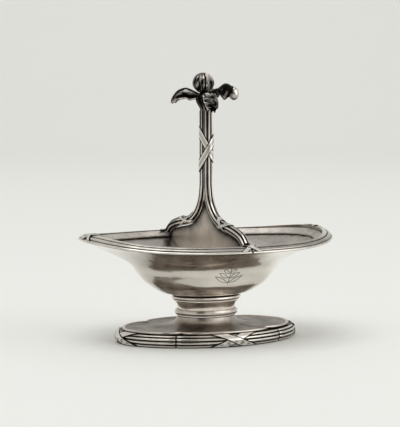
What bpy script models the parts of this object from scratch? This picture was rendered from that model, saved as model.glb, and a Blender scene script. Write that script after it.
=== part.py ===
"""Double salt cellar in silver: a boat-shaped oval bowl on an oval foot, parted across its
middle by a plate. Two reeded branches frame that plate, rise together as the handle and
carry an iris flower.

Lengths are in metres. X is the long axis, Y the short one, and the foot stands on Z = 0
with the origin at the middle of its underside. Sections of mouldings are written as
(outward, upward) distances from the outline that they follow."""

import math
from dataclasses import dataclass

import bmesh
import bpy
from mathutils import Vector

# Fits and sheet thicknesses
CLEARANCE = 0.0003
BOWL_WALL = 0.0012
FOOT_WALL = 0.0008
NECK_WALL = 0.0010
TURNED_STEPS = 40
ELLIPSE = 2.0
UPWARD = Vector((0.0, 0.0, 1.0))

# Foot: reeded border and dished plate
FOOT_HALF_LENGTH = 0.0430
FOOT_HALF_WIDTH = 0.0302
FOOT_SQUARENESS = 1.9
FOOT_REEDS = 4
FOOT_REED_DEPTH = 0.00035
FOOT_REED_TOP_ANGLE = math.radians(68)
FOOT_RAIL_WIDTH = 0.0033
FOOT_SEAT_WIDTH = 0.0062
FOOT_SEAT_THICKNESS = 0.0010
FOOT_SEAM = 0.00015
FOOT_LIP_INSET = 0.0030
FOOT_LIP_HEIGHT = 0.0010
FOOT_LIP_WIDTH = 0.0020
FOOT_DISH_DROP = 0.0003
CUSP_ANGLE = math.radians(54)
CUSP_DEPTH = 0.0026
CUSP_SPREAD = math.radians(7)

# Skirt of the foot plate, from its top outward and down, as shares of its reach and drop
SKIRT_TOP_HEIGHT = 0.0105
SKIRT_TOP_HALF_LENGTH = 0.0135
SKIRT_REACH = 0.0125
SKIRT_PROFILE = ((0.0, 0.0), (0.05, 0.32), (0.19, 0.62), (0.52, 0.86), (1.0, 1.0))

# Neck: waist, bead ring and collar, as half lengths of their ovals
NECK_LENGTH = 0.0074
NECK_HALF_LENGTH = SKIRT_TOP_HALF_LENGTH - 0.0002
NECK_FLARE = 0.0022
NECK_STEP = 0.0007
NECK_TOP_HEIGHT = SKIRT_TOP_HEIGHT + CLEARANCE + NECK_LENGTH
BEAD_RING_HEIGHT = SKIRT_TOP_HEIGHT + 0.0020
BEAD_RING_THICKNESS = 0.0025
BEAD_RING_PROJECTION = 0.0011
COLLAR_PROJECTION = 0.0009
COLLAR_SEAT_WIDTH = 0.0050
COLLAR_HALF_LENGTH = NECK_HALF_LENGTH + NECK_FLARE + COLLAR_PROJECTION
COLLAR_HALF_WIDTH = 0.0127
COLLAR_THICKNESS = 0.0013

# Bowl and rim. The bowl's profile runs from its edge down to its flat bottom, as shares of
# the way out and up between the two
RIM_HALF_LENGTH = 0.0592
RIM_HALF_WIDTH = 0.0470
RIM_SQUARENESS = 2.1
RIM_HEIGHT = NECK_TOP_HEIGHT + 0.0261
RIM_END_RISE = 0.0028
RIM_TIP_RISE = 0.0006
RIM_REED_ANGLES = (4, 27, 57, 88)
RIM_REED_DEPTH = 0.0003
RIM_MOULDING_WIDTH = 0.0050
RIM_BEAD_WIDTH = 0.0016
BOWL_EDGE_INSET = RIM_BEAD_WIDTH + 2 * CLEARANCE
BOWL_EDGE_DROP = 0.0016
BOWL_FLAT_SHARE = 0.91
BOWL_PROFILE = (
    (1.0, 1.0),
    (0.88, 0.951),
    (0.67, 0.810),
    (0.50, 0.646),
    (0.41, 0.442),
    (0.32, 0.265),
    (0.155, 0.075),
    (0.0, 0.0),
)
FLANGE_WIDTH = 0.0031
FLANGE_EDGE_INSET = RIM_MOULDING_WIDTH + CLEARANCE + FLANGE_WIDTH
FLANGE_EDGE_DROP = 0.0007
FLANGE_THICKNESS = 0.0006

# Handle: two reeded branches and the plate that they frame. The profile of a branch's leg
# runs from its landing on the flange to where it stands upright, as shares of the way out
# from there and up to there
BRANCH_RADIUS = 0.0021
BRANCH_REEDS = 6
BRANCH_REED_DEPTH = 0.00032
BRANCH_LANDING_INSET = RIM_MOULDING_WIDTH + 0.0016
BRANCH_LANDING_HEIGHT = RIM_HEIGHT + 0.0013
BRANCH_JOIN_HEIGHT = RIM_HEIGHT + 0.0257
BRANCH_TOP_HEIGHT = BRANCH_JOIN_HEIGHT + 0.0330
LEG_PROFILE = (
    (1.0, 0.0),
    (0.905, 0.115),
    (0.780, 0.180),
    (0.622, 0.230),
    (0.465, 0.266),
    (0.321, 0.320),
    (0.190, 0.426),
    (0.088, 0.582),
    (0.030, 0.754),
    (0.0, 1.0),
)
DIVIDER_THICKNESS = 0.0010
DIVIDER_TOP_HEIGHT = BRANCH_JOIN_HEIGHT - 0.0070

# Crossed ribbons
RIBBON_THICKNESS = 0.0005
FOOT_RIBBON_WIDTH = 0.0024
FOOT_RIBBON_REACH = 0.0069
FOOT_RIBBON_ANGLES = (-34, 62)
RIM_RIBBON_WIDTH = 0.0016
RIM_RIBBON_REACH = 0.0038
RIM_RIBBON_ANGLES = (2, 96)
HANDLE_RIBBON_WIDTH = 0.0022
HANDLE_RIBBON_HEIGHT = BRANCH_TOP_HEIGHT - 0.0192
HANDLE_RIBBON_STAGGER = 0.0018
HANDLE_RIBBON_TILT = 0.0057
LEG_RIBBON_WIDTH = 0.0015
LEG_RIBBON_TILT = 0.0026
LEG_RIBBON_SHARE = 0.465
LEG_RIBBON_OPENING = math.radians(55)

# Flower: calyx, three drooping falls and three upright standards closed to a ball
CALYX_BOTTOM_HEIGHT = BRANCH_TOP_HEIGHT + CLEARANCE
CALYX_HEIGHT = 0.0068
CALYX_RADIUS = 0.0041
STYLE_RADIUS = 0.0014
STYLE_HEIGHT = 0.0030
BALL_RADIUS = 0.0047
BALL_HEIGHT = CALYX_BOTTOM_HEIGHT + CALYX_HEIGHT + 0.0055
BALL_OFFSET = Vector((-0.0012, 0.0005, 0.0))
STANDARD_ANGLES = (math.radians(-58), math.radians(80))
PETAL_THICKNESS = 0.0006
PETAL_TURN = 2 * math.pi / 3
FIRST_FALL_ANGLE = math.radians(16.8)
FALL_ROOT_SHARE = 0.75


@dataclass
class Moulding:
    """Oval section that the reeds of a border follow. It touches the border's outline, so
    its centre lies inside that by half the section's breadth."""

    half_breadth: float
    half_height: float
    height: float


FOOT_MOULDING = Moulding(half_breadth=0.0028, half_height=0.0033, height=0.0026)
RIM_MOULDING = Moulding(half_breadth=0.0052, half_height=0.00325, height=-0.0016)


@dataclass
class Fall:
    """Drooping petal: its place in the turn, the (outward, upward) steps of its midline from
    its root, and its widths along that. Its long edges hang lower by up to the crown."""

    name: str
    place: int
    midline: tuple
    widths: tuple
    crown: float


FALLS = (
    Fall(
        name="right",
        place=0,
        midline=((0, 0), (0.0032, 0.0026), (0.0080, 0.0042), (0.0128, 0.0030), (0.0148, -0.0004)),
        widths=(0.0026, 0.0062, 0.0084, 0.0080, 0.0052),
        crown=0.0052,
    ),
    Fall(
        name="left",
        place=1,
        midline=((0, 0), (0.0028, 0.0018), (0.0058, 0.0026), (0.0092, 0.0006), (0.0109, -0.0030)),
        widths=(0.0026, 0.0062, 0.0084, 0.0080, 0.0052),
        crown=0.0046,
    ),
    Fall(
        name="front",
        place=2,
        midline=((0, 0), (0.0031, 0.0006), (0.0049, -0.0018), (0.0055, -0.0047), (0.0048, -0.0074)),
        widths=(0.0024, 0.0060, 0.0072, 0.0066, 0.0038),
        crown=0.0020,
    ),
)


def blend(first, last, share):
    return first + (last - first) * share


def clamp(value):
    return min(max(value, 0.0), 1.0)


def signed_power(value, exponent):
    return math.copysign(abs(value) ** exponent, value)


def oval(angle, half_length, half_width, squareness):
    """Point of an oval: an ellipse at its own squareness, and fuller above that."""
    across = half_length * signed_power(math.cos(angle), 2 / squareness)
    along = half_width * signed_power(math.sin(angle), 2 / squareness)
    return Vector((across, along, 0.0))


def smooth_line(points, steps):
    """Catmull-Rom curve through the points, with the given steps between each two."""
    ends = [points[0]] + list(points) + [points[-1]]
    line = []
    for before, start, end, after in zip(ends, ends[1:], ends[2:], ends[3:]):
        for step in range(steps):
            share = step / steps
            pull = [
                2 * start[k]
                + (end[k] - before[k]) * share
                + (2 * before[k] - 5 * start[k] + 4 * end[k] - after[k]) * share**2
                + (3 * start[k] - before[k] - 3 * end[k] + after[k]) * share**3
                for k in (0, 1)
            ]
            line.append((pull[0] / 2, pull[1] / 2))
    line.append(tuple(points[-1]))
    return line


# The oval family of the neck and bowl, and the outlines of the two borders


def bowl_half_width(half_length):
    """Half width of a level oval of the bowl: it meets the collar's and the rim's widths, and
    near the rim it shrinks as fast as the half length does, so the flange keeps its width."""
    run = RIM_HALF_LENGTH - COLLAR_HALF_LENGTH
    gain = RIM_HALF_WIDTH - COLLAR_HALF_WIDTH
    bend = (run - gain) / run**2
    reach = half_length - COLLAR_HALF_LENGTH
    return COLLAR_HALF_WIDTH + (1 - 2 * bend * run) * reach + bend * reach**2


def bowl_squareness(half_length):
    return blend(ELLIPSE, RIM_SQUARENESS, clamp(half_length / RIM_HALF_LENGTH) ** 2)


def end_rise(across):
    """How far the ends of the boat shape sweep up at a distance from its middle."""
    share = across / RIM_HALF_LENGTH
    return RIM_END_RISE * share**4 + RIM_TIP_RISE * share**8


def bowl_point(half_length, angle, height):
    point = oval(angle, half_length, bowl_half_width(half_length), bowl_squareness(half_length))
    point.z = height + end_rise(point.x)
    return point


def neck_point(half_length, angle, height):
    point = oval(angle, half_length, bowl_half_width(half_length), ELLIPSE)
    point.z = height
    return point


def flange_point(half_length, angle, height):
    """Point at a constant inset from the rim's outline, for pieces of constant width."""
    place, outward = station(rim_outline, angle)
    point = place - outward * (RIM_HALF_LENGTH - half_length)
    point.z = height + end_rise(point.x)
    return point


def cusp_share(angle):
    """1 at the four cusps of the foot, falling away quickly on both sides of each."""
    folded = math.acos(min(abs(math.cos(angle)), 1.0))
    return math.exp(-abs(folded - CUSP_ANGLE) / CUSP_SPREAD)


def plate_point(half_length, angle, height):
    """Point of the foot plate: a plain oval at the skirt, four lobes between cusps at the lip."""
    lip_length = FOOT_HALF_LENGTH - FOOT_LIP_INSET
    lip_width = FOOT_HALF_WIDTH - FOOT_LIP_INSET
    share = (half_length - SKIRT_TOP_HALF_LENGTH) / (lip_length - SKIRT_TOP_HALF_LENGTH)
    half_width = blend(bowl_half_width(SKIRT_TOP_HALF_LENGTH), lip_width, share)
    point = oval(angle, half_length, half_width, blend(ELLIPSE, FOOT_SQUARENESS, share))
    notch = CUSP_DEPTH * cusp_share(angle) * clamp(share) ** 2
    point *= 1 - notch / point.length
    point.z = height
    return point


def foot_outline(angle):
    return oval(angle, FOOT_HALF_LENGTH, FOOT_HALF_WIDTH, FOOT_SQUARENESS)


def rim_outline(angle):
    point = oval(angle, RIM_HALF_LENGTH, RIM_HALF_WIDTH, RIM_SQUARENESS)
    point.z = RIM_HEIGHT + end_rise(point.x)
    return point


def station(outline, angle):
    """A point of an outline and the level direction that points straight out of it there."""
    nudge = 0.0001
    ahead = outline(angle + nudge) - outline(angle - nudge)
    return outline(angle), Vector((ahead.y, -ahead.x, 0.0)).normalized()


# Sections of the two borders


def envelope(moulding, angle, lift):
    """(outward, upward) place on a moulding's oval section, lifted off it."""
    outward = -moulding.half_breadth + (moulding.half_breadth + lift) * math.cos(angle)
    upward = moulding.height + (moulding.half_height + lift) * math.sin(angle)
    return outward, upward


def reeded_line(moulding, groove_angles, depth):
    """Section line over a row of reeds that meet in grooves at the given angles."""
    line = []
    for start, stop in zip(groove_angles, groove_angles[1:]):
        line.append(envelope(moulding, start, -depth))
        line.append(envelope(moulding, blend(start, stop, 0.3), 0.0))
        line.append(envelope(moulding, blend(start, stop, 0.7), 0.0))
    line.append(envelope(moulding, groove_angles[-1], -depth))
    return line


def foot_border_section():
    """Reeds outside, a flat underside to stand on, and a seat for the plate at the top."""
    bottom_angle = math.asin(-FOOT_MOULDING.height / FOOT_MOULDING.half_height)
    angles = [
        blend(bottom_angle, FOOT_REED_TOP_ANGLE, reed / FOOT_REEDS)
        for reed in range(FOOT_REEDS + 1)
    ]
    line = reeded_line(FOOT_MOULDING, angles, FOOT_REED_DEPTH)
    top = line[-1][1]
    line[0] = (line[0][0], 0.0)
    under_seat = top - FOOT_SEAT_THICKNESS
    line.append((-FOOT_SEAT_WIDTH, top))
    line.append((-FOOT_SEAT_WIDTH, under_seat))
    line.append((-FOOT_RAIL_WIDTH, under_seat))
    line.append((-FOOT_RAIL_WIDTH, 0.0))
    return line


def foot_seat_height():
    return foot_border_section()[-4][1]


def bowl_outer_line():
    """(half length, height) down the bowl's outer side: flat flare, ogee, round lower body."""
    edge = RIM_HALF_LENGTH - BOWL_EDGE_INSET
    edge_height = RIM_HEIGHT - BOWL_EDGE_DROP
    flat = BOWL_FLAT_SHARE * COLLAR_HALF_LENGTH
    floor = bowl_bottom_height()
    marks = [(blend(flat, edge, out), blend(floor, edge_height, up)) for out, up in BOWL_PROFILE]
    return smooth_line(marks, 2) + [(0.0, floor)]


def bowl_bottom_height():
    return NECK_TOP_HEIGHT + COLLAR_THICKNESS + 2 * CLEARANCE


def inner_height(half_length):
    """Height of the bowl's inner surface, over its middle, at a half length of its ovals."""
    line = bowl_outer_line()
    for (outer, top), (inner, bottom) in zip(line, line[1:]):
        if inner <= half_length <= outer:
            slope = (top - bottom) / (outer - inner)
            share = (half_length - inner) / (outer - inner)
            return blend(bottom, top, share) + BOWL_WALL * math.hypot(1.0, slope)
    raise ValueError("half length beyond the bowl's edge")


def rim_border_section():
    """Bead round the bowl's edge and two broad reeds above it, over the bowl's flared wall."""
    angles = [math.radians(angle) for angle in RIM_REED_ANGLES]
    line = reeded_line(RIM_MOULDING, angles, RIM_REED_DEPTH)
    under_inner = rim_underside(RIM_MOULDING_WIDTH)
    under_outer = rim_underside(BOWL_EDGE_INSET)
    line.append((-RIM_MOULDING_WIDTH, line[-1][1] - RIM_REED_DEPTH))
    line.append((-RIM_MOULDING_WIDTH, under_inner))
    line.append((-RIM_BEAD_WIDTH, under_outer))
    line.append((-RIM_BEAD_WIDTH, line[0][1]))
    return line


def rim_underside(inset):
    """Height above the rim's outline of what lies on the bowl's wall with the usual gap."""
    return inner_height(RIM_HALF_LENGTH - inset) + 1.3 * CLEARANCE - RIM_HEIGHT


# Objects


def clear_scene():
    for obj in list(bpy.data.objects):
        bpy.data.objects.remove(obj, do_unlink=True)


def new_collection(name):
    collection = bpy.data.collections.new(name)
    bpy.context.scene.collection.children.link(collection)
    return collection


def silver(name, tone, roughness):
    """Silver of one part: tone sets how bright it is, roughness how satin."""
    material = bpy.data.materials.new(name)
    material.use_nodes = True
    shader = material.node_tree.nodes["Principled BSDF"]
    shader.inputs["Base Color"].default_value = (tone, tone * 0.97, tone * 0.92, 1.0)
    shader.inputs["Metallic"].default_value = 1.0
    shader.inputs["Roughness"].default_value = roughness
    return material


def add_object(name, data, collection, tone=0.66, roughness=0.32):
    obj = bpy.data.objects.new(name, data)
    collection.objects.link(obj)
    data.materials.clear()
    data.materials.append(silver(name, tone, roughness))
    return obj


def add_helper(name, data, helpers):
    obj = bpy.data.objects.new(name, data)
    helpers.objects.link(obj)
    obj.hide_render = True
    obj.display_type = "WIRE"
    return obj


def smooth_shading(mesh, angle=math.radians(35)):
    mesh.shade_smooth()
    mesh.set_sharp_from_angle(angle=angle)


def solidify(obj, thickness, offset):
    modifier = obj.modifiers.new("Wall", "SOLIDIFY")
    modifier.thickness = thickness
    modifier.offset = offset
    modifier.use_even_offset = True


def turned_mesh(name, profile, place, closed=False, steps=TURNED_STEPS):
    """Profile of (half length, height) points turned about Z with a Screw modifier, then laid
    on ovals: place gives the point for a half length, an angle and a height."""
    outline = bpy.data.meshes.new(name + "_profile")
    points = [(half_length, 0.0, height) for half_length, height in profile]
    edges = [(index, index + 1) for index in range(len(points) - 1)]
    if closed:
        edges.append((len(points) - 1, 0))
    outline.from_pydata(points, edges, [])
    turning = bpy.data.objects.new(name + "_turning", outline)
    bpy.context.scene.collection.objects.link(turning)
    screw = turning.modifiers.new("Screw", "SCREW")
    screw.steps = steps
    screw.render_steps = steps
    screw.use_merge_vertices = True
    screw.merge_threshold = 0.00001
    graph = bpy.context.evaluated_depsgraph_get()
    mesh = bpy.data.meshes.new_from_object(turning.evaluated_get(graph))
    mesh.name = name
    bpy.data.objects.remove(turning)
    for vertex in mesh.vertices:
        half_length = math.hypot(vertex.co.x, vertex.co.y)
        angle = math.atan2(vertex.co.y, vertex.co.x)
        if half_length > CLEARANCE:
            vertex.co = place(half_length, angle, vertex.co.z)
    smooth_shading(mesh)
    return mesh


def section_helper(name, section, helpers):
    """Closed flat curve that a border or branch takes as its section."""
    data = bpy.data.curves.new(name, "CURVE")
    data.dimensions = "2D"
    data.fill_mode = "NONE"
    spline = data.splines.new("POLY")
    spline.points.add(len(section) - 1)
    for point, (across, up) in zip(spline.points, reversed(section)):
        point.co = (across, up, 0.0, 1.0)
    spline.use_cyclic_u = True
    return add_helper(name, data, helpers)


def swept_curve(name, path, section, collection, twist="Z_UP"):
    """Rail of a given section along a path of points, with closed ends."""
    data = bpy.data.curves.new(name, "CURVE")
    data.dimensions = "3D"
    data.twist_mode = twist
    data.bevel_mode = "OBJECT"
    data.bevel_object = section
    data.use_fill_caps = True
    spline = data.splines.new("POLY")
    spline.points.add(len(path) - 1)
    for point, place in zip(spline.points, path):
        point.co = (*place, 1.0)
    spline.use_smooth = False
    return add_object(name, data, collection)


def border_path(outline, start, stop, stations):
    """Points of a border's outline, with a short first and last step so that its ends are
    cut square to the outline."""
    shares = [step / stations for step in range(stations + 1)]
    shares[1:1] = [0.1 / stations]
    shares[-1:-1] = [1 - 0.1 / stations]
    return [outline(blend(start, stop, share)) for share in shares]


# Foot and neck


def build_foot_plate(collection):
    """Thin plate with a rolled lip, dished, and drawn up in the middle as a flared skirt."""
    lip = FOOT_HALF_LENGTH - FOOT_LIP_INSET
    seat = foot_seat_height() + FOOT_WALL + CLEARANCE
    top = seat + FOOT_LIP_HEIGHT - FOOT_WALL / 2
    dish = seat + FOOT_LIP_HEIGHT / 2 - FOOT_DISH_DROP
    skirt_drop = SKIRT_TOP_HEIGHT - dish
    skirt = [
        (SKIRT_TOP_HALF_LENGTH + out * SKIRT_REACH, SKIRT_TOP_HEIGHT - down * skirt_drop)
        for out, down in SKIRT_PROFILE
    ]
    edge = [
        (lip - 2.7 * FOOT_LIP_WIDTH, dish),
        (lip - FOOT_LIP_WIDTH, blend(dish, top, 0.4)),
        (lip - 0.5 * FOOT_LIP_WIDTH, top),
        (lip - 0.15 * FOOT_LIP_WIDTH, top - 0.2 * FOOT_LIP_HEIGHT),
        (lip, seat),
    ]
    mesh = turned_mesh("foot_plate", skirt + edge, plate_point)
    plate = add_object("foot_plate", mesh, collection, tone=0.60, roughness=0.36)
    solidify(plate, FOOT_WALL, -1.0)


def build_foot_borders(collection, helpers):
    """Four lengths of reeded border between the cusps, parted by a fine seam at each."""
    section = section_helper("foot_border_section", foot_border_section(), helpers)
    right = (-CUSP_ANGLE, CUSP_ANGLE)
    back = (CUSP_ANGLE, math.pi - CUSP_ANGLE)
    spans = {
        "right": right,
        "back": back,
        "left": (right[0] + math.pi, right[1] + math.pi),
        "front": (back[0] + math.pi, back[1] + math.pi),
    }
    seam = FOOT_SEAM / FOOT_HALF_WIDTH
    for side, (start, stop) in spans.items():
        path = border_path(foot_outline, start + seam, stop - seam, 12)
        swept_curve("foot_border_" + side, path, section, collection)


def build_neck(collection):
    """Waisted oval tube, the bead ring round it, and the collar under the bowl."""
    bottom = SKIRT_TOP_HEIGHT + CLEARANCE
    waist = NECK_HALF_LENGTH
    spool = [
        (waist + NECK_FLARE, NECK_TOP_HEIGHT),
        (waist + NECK_FLARE, NECK_TOP_HEIGHT - NECK_STEP),
        (waist + 0.50 * NECK_FLARE, NECK_TOP_HEIGHT - 1.8 * NECK_STEP),
        (waist + 0.12 * NECK_FLARE, NECK_TOP_HEIGHT - 4.0 * NECK_STEP),
        (waist, BEAD_RING_HEIGHT + BEAD_RING_THICKNESS / 2),
        (waist, bottom),
    ]
    mesh = turned_mesh("neck_spool", spool, neck_point)
    solidify(add_object("neck_spool", mesh, collection), NECK_WALL, -1.0)

    bore = waist + CLEARANCE
    half = BEAD_RING_THICKNESS / 2
    crown = bore + BEAD_RING_PROJECTION
    ring = [
        (bore, BEAD_RING_HEIGHT + half),
        (blend(bore, crown, 0.75), BEAD_RING_HEIGHT + 0.8 * half),
        (crown, BEAD_RING_HEIGHT + 0.3 * half),
        (crown, BEAD_RING_HEIGHT - 0.3 * half),
        (blend(bore, crown, 0.75), BEAD_RING_HEIGHT - 0.8 * half),
        (bore, BEAD_RING_HEIGHT - half),
    ]
    mesh = turned_mesh("neck_bead_ring", ring, neck_point, closed=True)
    add_object("neck_bead_ring", mesh, collection, tone=0.75, roughness=0.25)

    base = NECK_TOP_HEIGHT + CLEARANCE
    top = base + COLLAR_THICKNESS
    bore = NECK_HALF_LENGTH + NECK_FLARE - COLLAR_SEAT_WIDTH
    rounding = 0.35 * COLLAR_THICKNESS
    collar = [
        (bore, top),
        (COLLAR_HALF_LENGTH - rounding, top),
        (COLLAR_HALF_LENGTH, blend(base, top, 0.55)),
        (COLLAR_HALF_LENGTH - rounding, base),
        (bore, base),
    ]
    mesh = turned_mesh("bowl_collar", collar, neck_point, closed=True)
    add_object("bowl_collar", mesh, collection)


# Bowl and rim


def build_bowl(collection):
    mesh = turned_mesh("bowl_shell", bowl_outer_line(), bowl_point)
    bowl = add_object("bowl_shell", mesh, collection, tone=0.62, roughness=0.30)
    solidify(bowl, BOWL_WALL, -1.0)


def build_rim(collection, helpers):
    """Reeded border in two halves that meet under the side ribbons, and the flat flange
    that slopes down inside it to the edge of the well."""
    section = section_helper("rim_border_section", rim_border_section(), helpers)
    seam = CLEARANCE / RIM_HALF_LENGTH
    for side, middle in (("right", 0.0), ("left", math.pi)):
        start = middle - math.pi / 2 + seam
        stop = middle + math.pi / 2 - seam
        path = border_path(rim_outline, start, stop, 24)
        swept_curve("rim_border_" + side, path, section, collection)

    outer = RIM_HALF_LENGTH - RIM_MOULDING_WIDTH - CLEARANCE
    inner = RIM_HALF_LENGTH - FLANGE_EDGE_INSET
    outer_under = RIM_HEIGHT + rim_underside(RIM_MOULDING_WIDTH + CLEARANCE)
    outer_top = RIM_HEIGHT + rim_border_section()[-4][1] - RIM_REED_DEPTH
    inner_top = RIM_HEIGHT - FLANGE_EDGE_DROP
    flange = [
        (outer, outer_top),
        (outer, outer_under),
        (inner, inner_top - FLANGE_THICKNESS),
        (inner - 0.0001, inner_top - FLANGE_THICKNESS / 2),
        (inner + 0.0003, inner_top),
    ]
    mesh = turned_mesh("rim_flange", flange, flange_point, closed=True)
    add_object("rim_flange", mesh, collection, tone=0.70, roughness=0.34)


# Handle and divider


def leg_line():
    """(distance from the middle plane, height) of one branch, from its landing to its top."""
    apart = BRANCH_RADIUS + CLEARANCE / 2
    landing = RIM_HALF_WIDTH - BRANCH_LANDING_INSET
    marks = [
        (blend(apart, landing, out), blend(BRANCH_LANDING_HEIGHT, BRANCH_JOIN_HEIGHT, up))
        for out, up in LEG_PROFILE
    ]
    return smooth_line(marks, 2) + [(apart, BRANCH_TOP_HEIGHT)]


def branch_section():
    """Round bundle of reeds."""
    section = []
    for reed in range(BRANCH_REEDS):
        for share, depth in ((0.0, BRANCH_REED_DEPTH), (0.3, 0.0), (0.7, 0.0)):
            angle = 2 * math.pi * (reed + share) / BRANCH_REEDS
            radius = BRANCH_RADIUS - depth
            section.append((radius * math.cos(angle), radius * math.sin(angle)))
    return section


def build_branches(collection, helpers):
    section = section_helper("branch_section", branch_section(), helpers)
    for name, side in (("handle_branch_front", -1), ("handle_branch_back", 1)):
        path = [(0.0, side * apart, height) for apart, height in leg_line()]
        swept_curve(name, path, section, collection, twist="MINIMUM")


def offset_line(line, distance):
    """Line shifted sideways, to the right of its own direction."""
    shifted = []
    for index, (across, up) in enumerate(line):
        before = line[max(index - 1, 0)]
        after = line[min(index + 1, len(line) - 1)]
        run, climb = after[0] - before[0], after[1] - before[1]
        scale = distance / math.hypot(run, climb)
        shifted.append((across + climb * scale, up - run * scale))
    return shifted


def build_divider(collection):
    """Flat plate that fills the bowl's cross-section and the space between the branches."""
    margin = BRANCH_RADIUS + CLEARANCE
    under_leg = [
        point
        for point in offset_line(leg_line(), -margin)
        if point[0] > DIVIDER_THICKNESS and point[1] < DIVIDER_TOP_HEIGHT
    ]
    floor_gap = 2 * CLEARANCE
    well = RIM_HALF_LENGTH - FLANGE_EDGE_INSET - floor_gap
    floor = [
        (bowl_half_width(half_length) - floor_gap, inner_height(half_length) + floor_gap)
        for half_length, _ in bowl_outer_line()[1:-1]
        if half_length < well
    ]
    floor = [point for point in floor if point[0] < under_leg[0][0]]
    half = floor[::-1] + under_leg
    outline = half + [(-across, up) for across, up in reversed(half)]

    data = bpy.data.curves.new("divider_plate", "CURVE")
    data.dimensions = "2D"
    data.fill_mode = "BOTH"
    data.extrude = DIVIDER_THICKNESS / 2
    spline = data.splines.new("POLY")
    spline.points.add(len(outline) - 1)
    for point, (across, up) in zip(spline.points, outline):
        point.co = (across, up, 0.0, 1.0)
    spline.use_cyclic_u = True
    divider = add_object("divider_plate", data, collection, tone=0.58, roughness=0.38)
    divider.rotation_euler = (math.pi / 2, 0.0, math.pi / 2)


# Ribbons


def band_mesh(name, rows, closed):
    """Strip whose cross rows of points are given in order along it."""
    bm = bmesh.new()
    placed = [[bm.verts.new(point) for point in row] for row in rows]
    links = list(zip(placed, placed[1:]))
    if closed:
        links.append((placed[-1], placed[0]))
    for row, next_row in links:
        for left, right, next_left, next_right in zip(row, row[1:], next_row, next_row[1:]):
            bm.faces.new((left, right, next_right, next_left))
    mesh = bpy.data.meshes.new(name)
    bm.to_mesh(mesh)
    bm.free()
    return mesh


def crossed_bands(name, over_rows, under_rows, collection, helpers, closed=False):
    """Two straps joined where they cross, as one solid."""
    under_strap = add_helper(name + "_under", band_mesh(name + "_under", under_rows, closed), helpers)
    solidify(under_strap, RIBBON_THICKNESS, 1.0)
    over_mesh = band_mesh(name, over_rows, closed)
    ribbon = add_object(name, over_mesh, collection, tone=0.78, roughness=0.26)
    solidify(ribbon, RIBBON_THICKNESS, 1.0)
    union = ribbon.modifiers.new("Crossing", "BOOLEAN")
    union.operation = "UNION"
    union.solver = "EXACT"
    union.object = under_strap


@dataclass
class BorderRibbon:
    """Crossed ribbon of a border: how far each strap reaches to both sides of the middle, its
    width, and the angles of the border's section where it starts and ends."""

    outline: object
    moulding: Moulding
    reach: float
    width: float
    angles: tuple


def border_strap(ribbon, middle, direction, crossing_lift, steps):
    """Strap laid slantwise over a border's reeds, from the foot of its section to the top.
    Its ends are cut level, along the border's edges."""
    first, last = (math.radians(angle) for angle in ribbon.angles)
    slants = [blend(first, last, step / steps) for step in range(steps + 1)]
    heights = [Vector(envelope(ribbon.moulding, slant, 0.0)) for slant in slants]
    climb = sum((upper - lower).length for lower, upper in zip(heights, heights[1:]))
    breadth = ribbon.width / math.sin(math.atan2(climb / 2, ribbon.reach))
    nudge = 0.1
    speed = (ribbon.outline(middle + nudge) - ribbon.outline(middle)).length / nudge
    rows = []
    for step, slant in enumerate(slants):
        share = 2 * step / steps - 1
        lift = CLEARANCE + crossing_lift * math.exp(-((share / 0.4) ** 2))
        out, up = envelope(ribbon.moulding, slant, lift)
        row = []
        for side in (-1, 0, 1):
            angle = middle + (direction * share * ribbon.reach + side * breadth / 2) / speed
            place, outward = station(ribbon.outline, angle)
            row.append(place + outward * out + UPWARD * up)
        rows.append(row)
    return rows


def build_border_ribbons(collection, helpers):
    """Crossed ribbons over both borders, at the two ends and the middle of both sides."""
    foot = BorderRibbon(
        foot_outline, FOOT_MOULDING, FOOT_RIBBON_REACH, FOOT_RIBBON_WIDTH, FOOT_RIBBON_ANGLES
    )
    rim = BorderRibbon(
        rim_outline, RIM_MOULDING, RIM_RIBBON_REACH, RIM_RIBBON_WIDTH, RIM_RIBBON_ANGLES
    )
    sides = {"right": 0.0, "back": math.pi / 2, "left": math.pi, "front": -math.pi / 2}
    for border, ribbon in (("foot", foot), ("rim", rim)):
        for side, middle in sides.items():
            over = border_strap(ribbon, middle, -1, 0.6 * RIBBON_THICKNESS, 9)
            under = border_strap(ribbon, middle, 1, 0.0, 8)
            crossed_bands(border + "_ribbon_" + side, over, under, collection, helpers)


def across_band(centres, normals, width, closed):
    """Cross rows of a strap from its midline and the normals along it."""
    rows = []
    last = len(centres) - 1
    for index, (centre, normal) in enumerate(zip(centres, normals)):
        if closed:
            run = centres[(index + 1) % len(centres)] - centres[index - 1]
        else:
            run = centres[min(index + 1, last)] - centres[max(index - 1, 0)]
        across = run.cross(normal).normalized() * width / 2
        rows.append([centre - across, centre + across])
    return rows


def handle_loop(height, tilt, lift, steps):
    """Closed strap round both branches, higher on one broad side than on the other."""
    radius = BRANCH_RADIUS + CLEARANCE + lift
    apart = BRANCH_RADIUS + CLEARANCE / 2
    centres = []
    normals = []
    for side in (1, -1):
        for step in range(steps + 1):
            angle = math.pi * step / steps
            normal = Vector((side * math.cos(angle), side * math.sin(angle), 0.0))
            centre = normal * radius + Vector((0.0, side * apart, height))
            centre.z += tilt * normal.x
            centres.append(centre)
            normals.append(normal)
    return across_band(centres, normals, HANDLE_RIBBON_WIDTH, closed=True)


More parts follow.
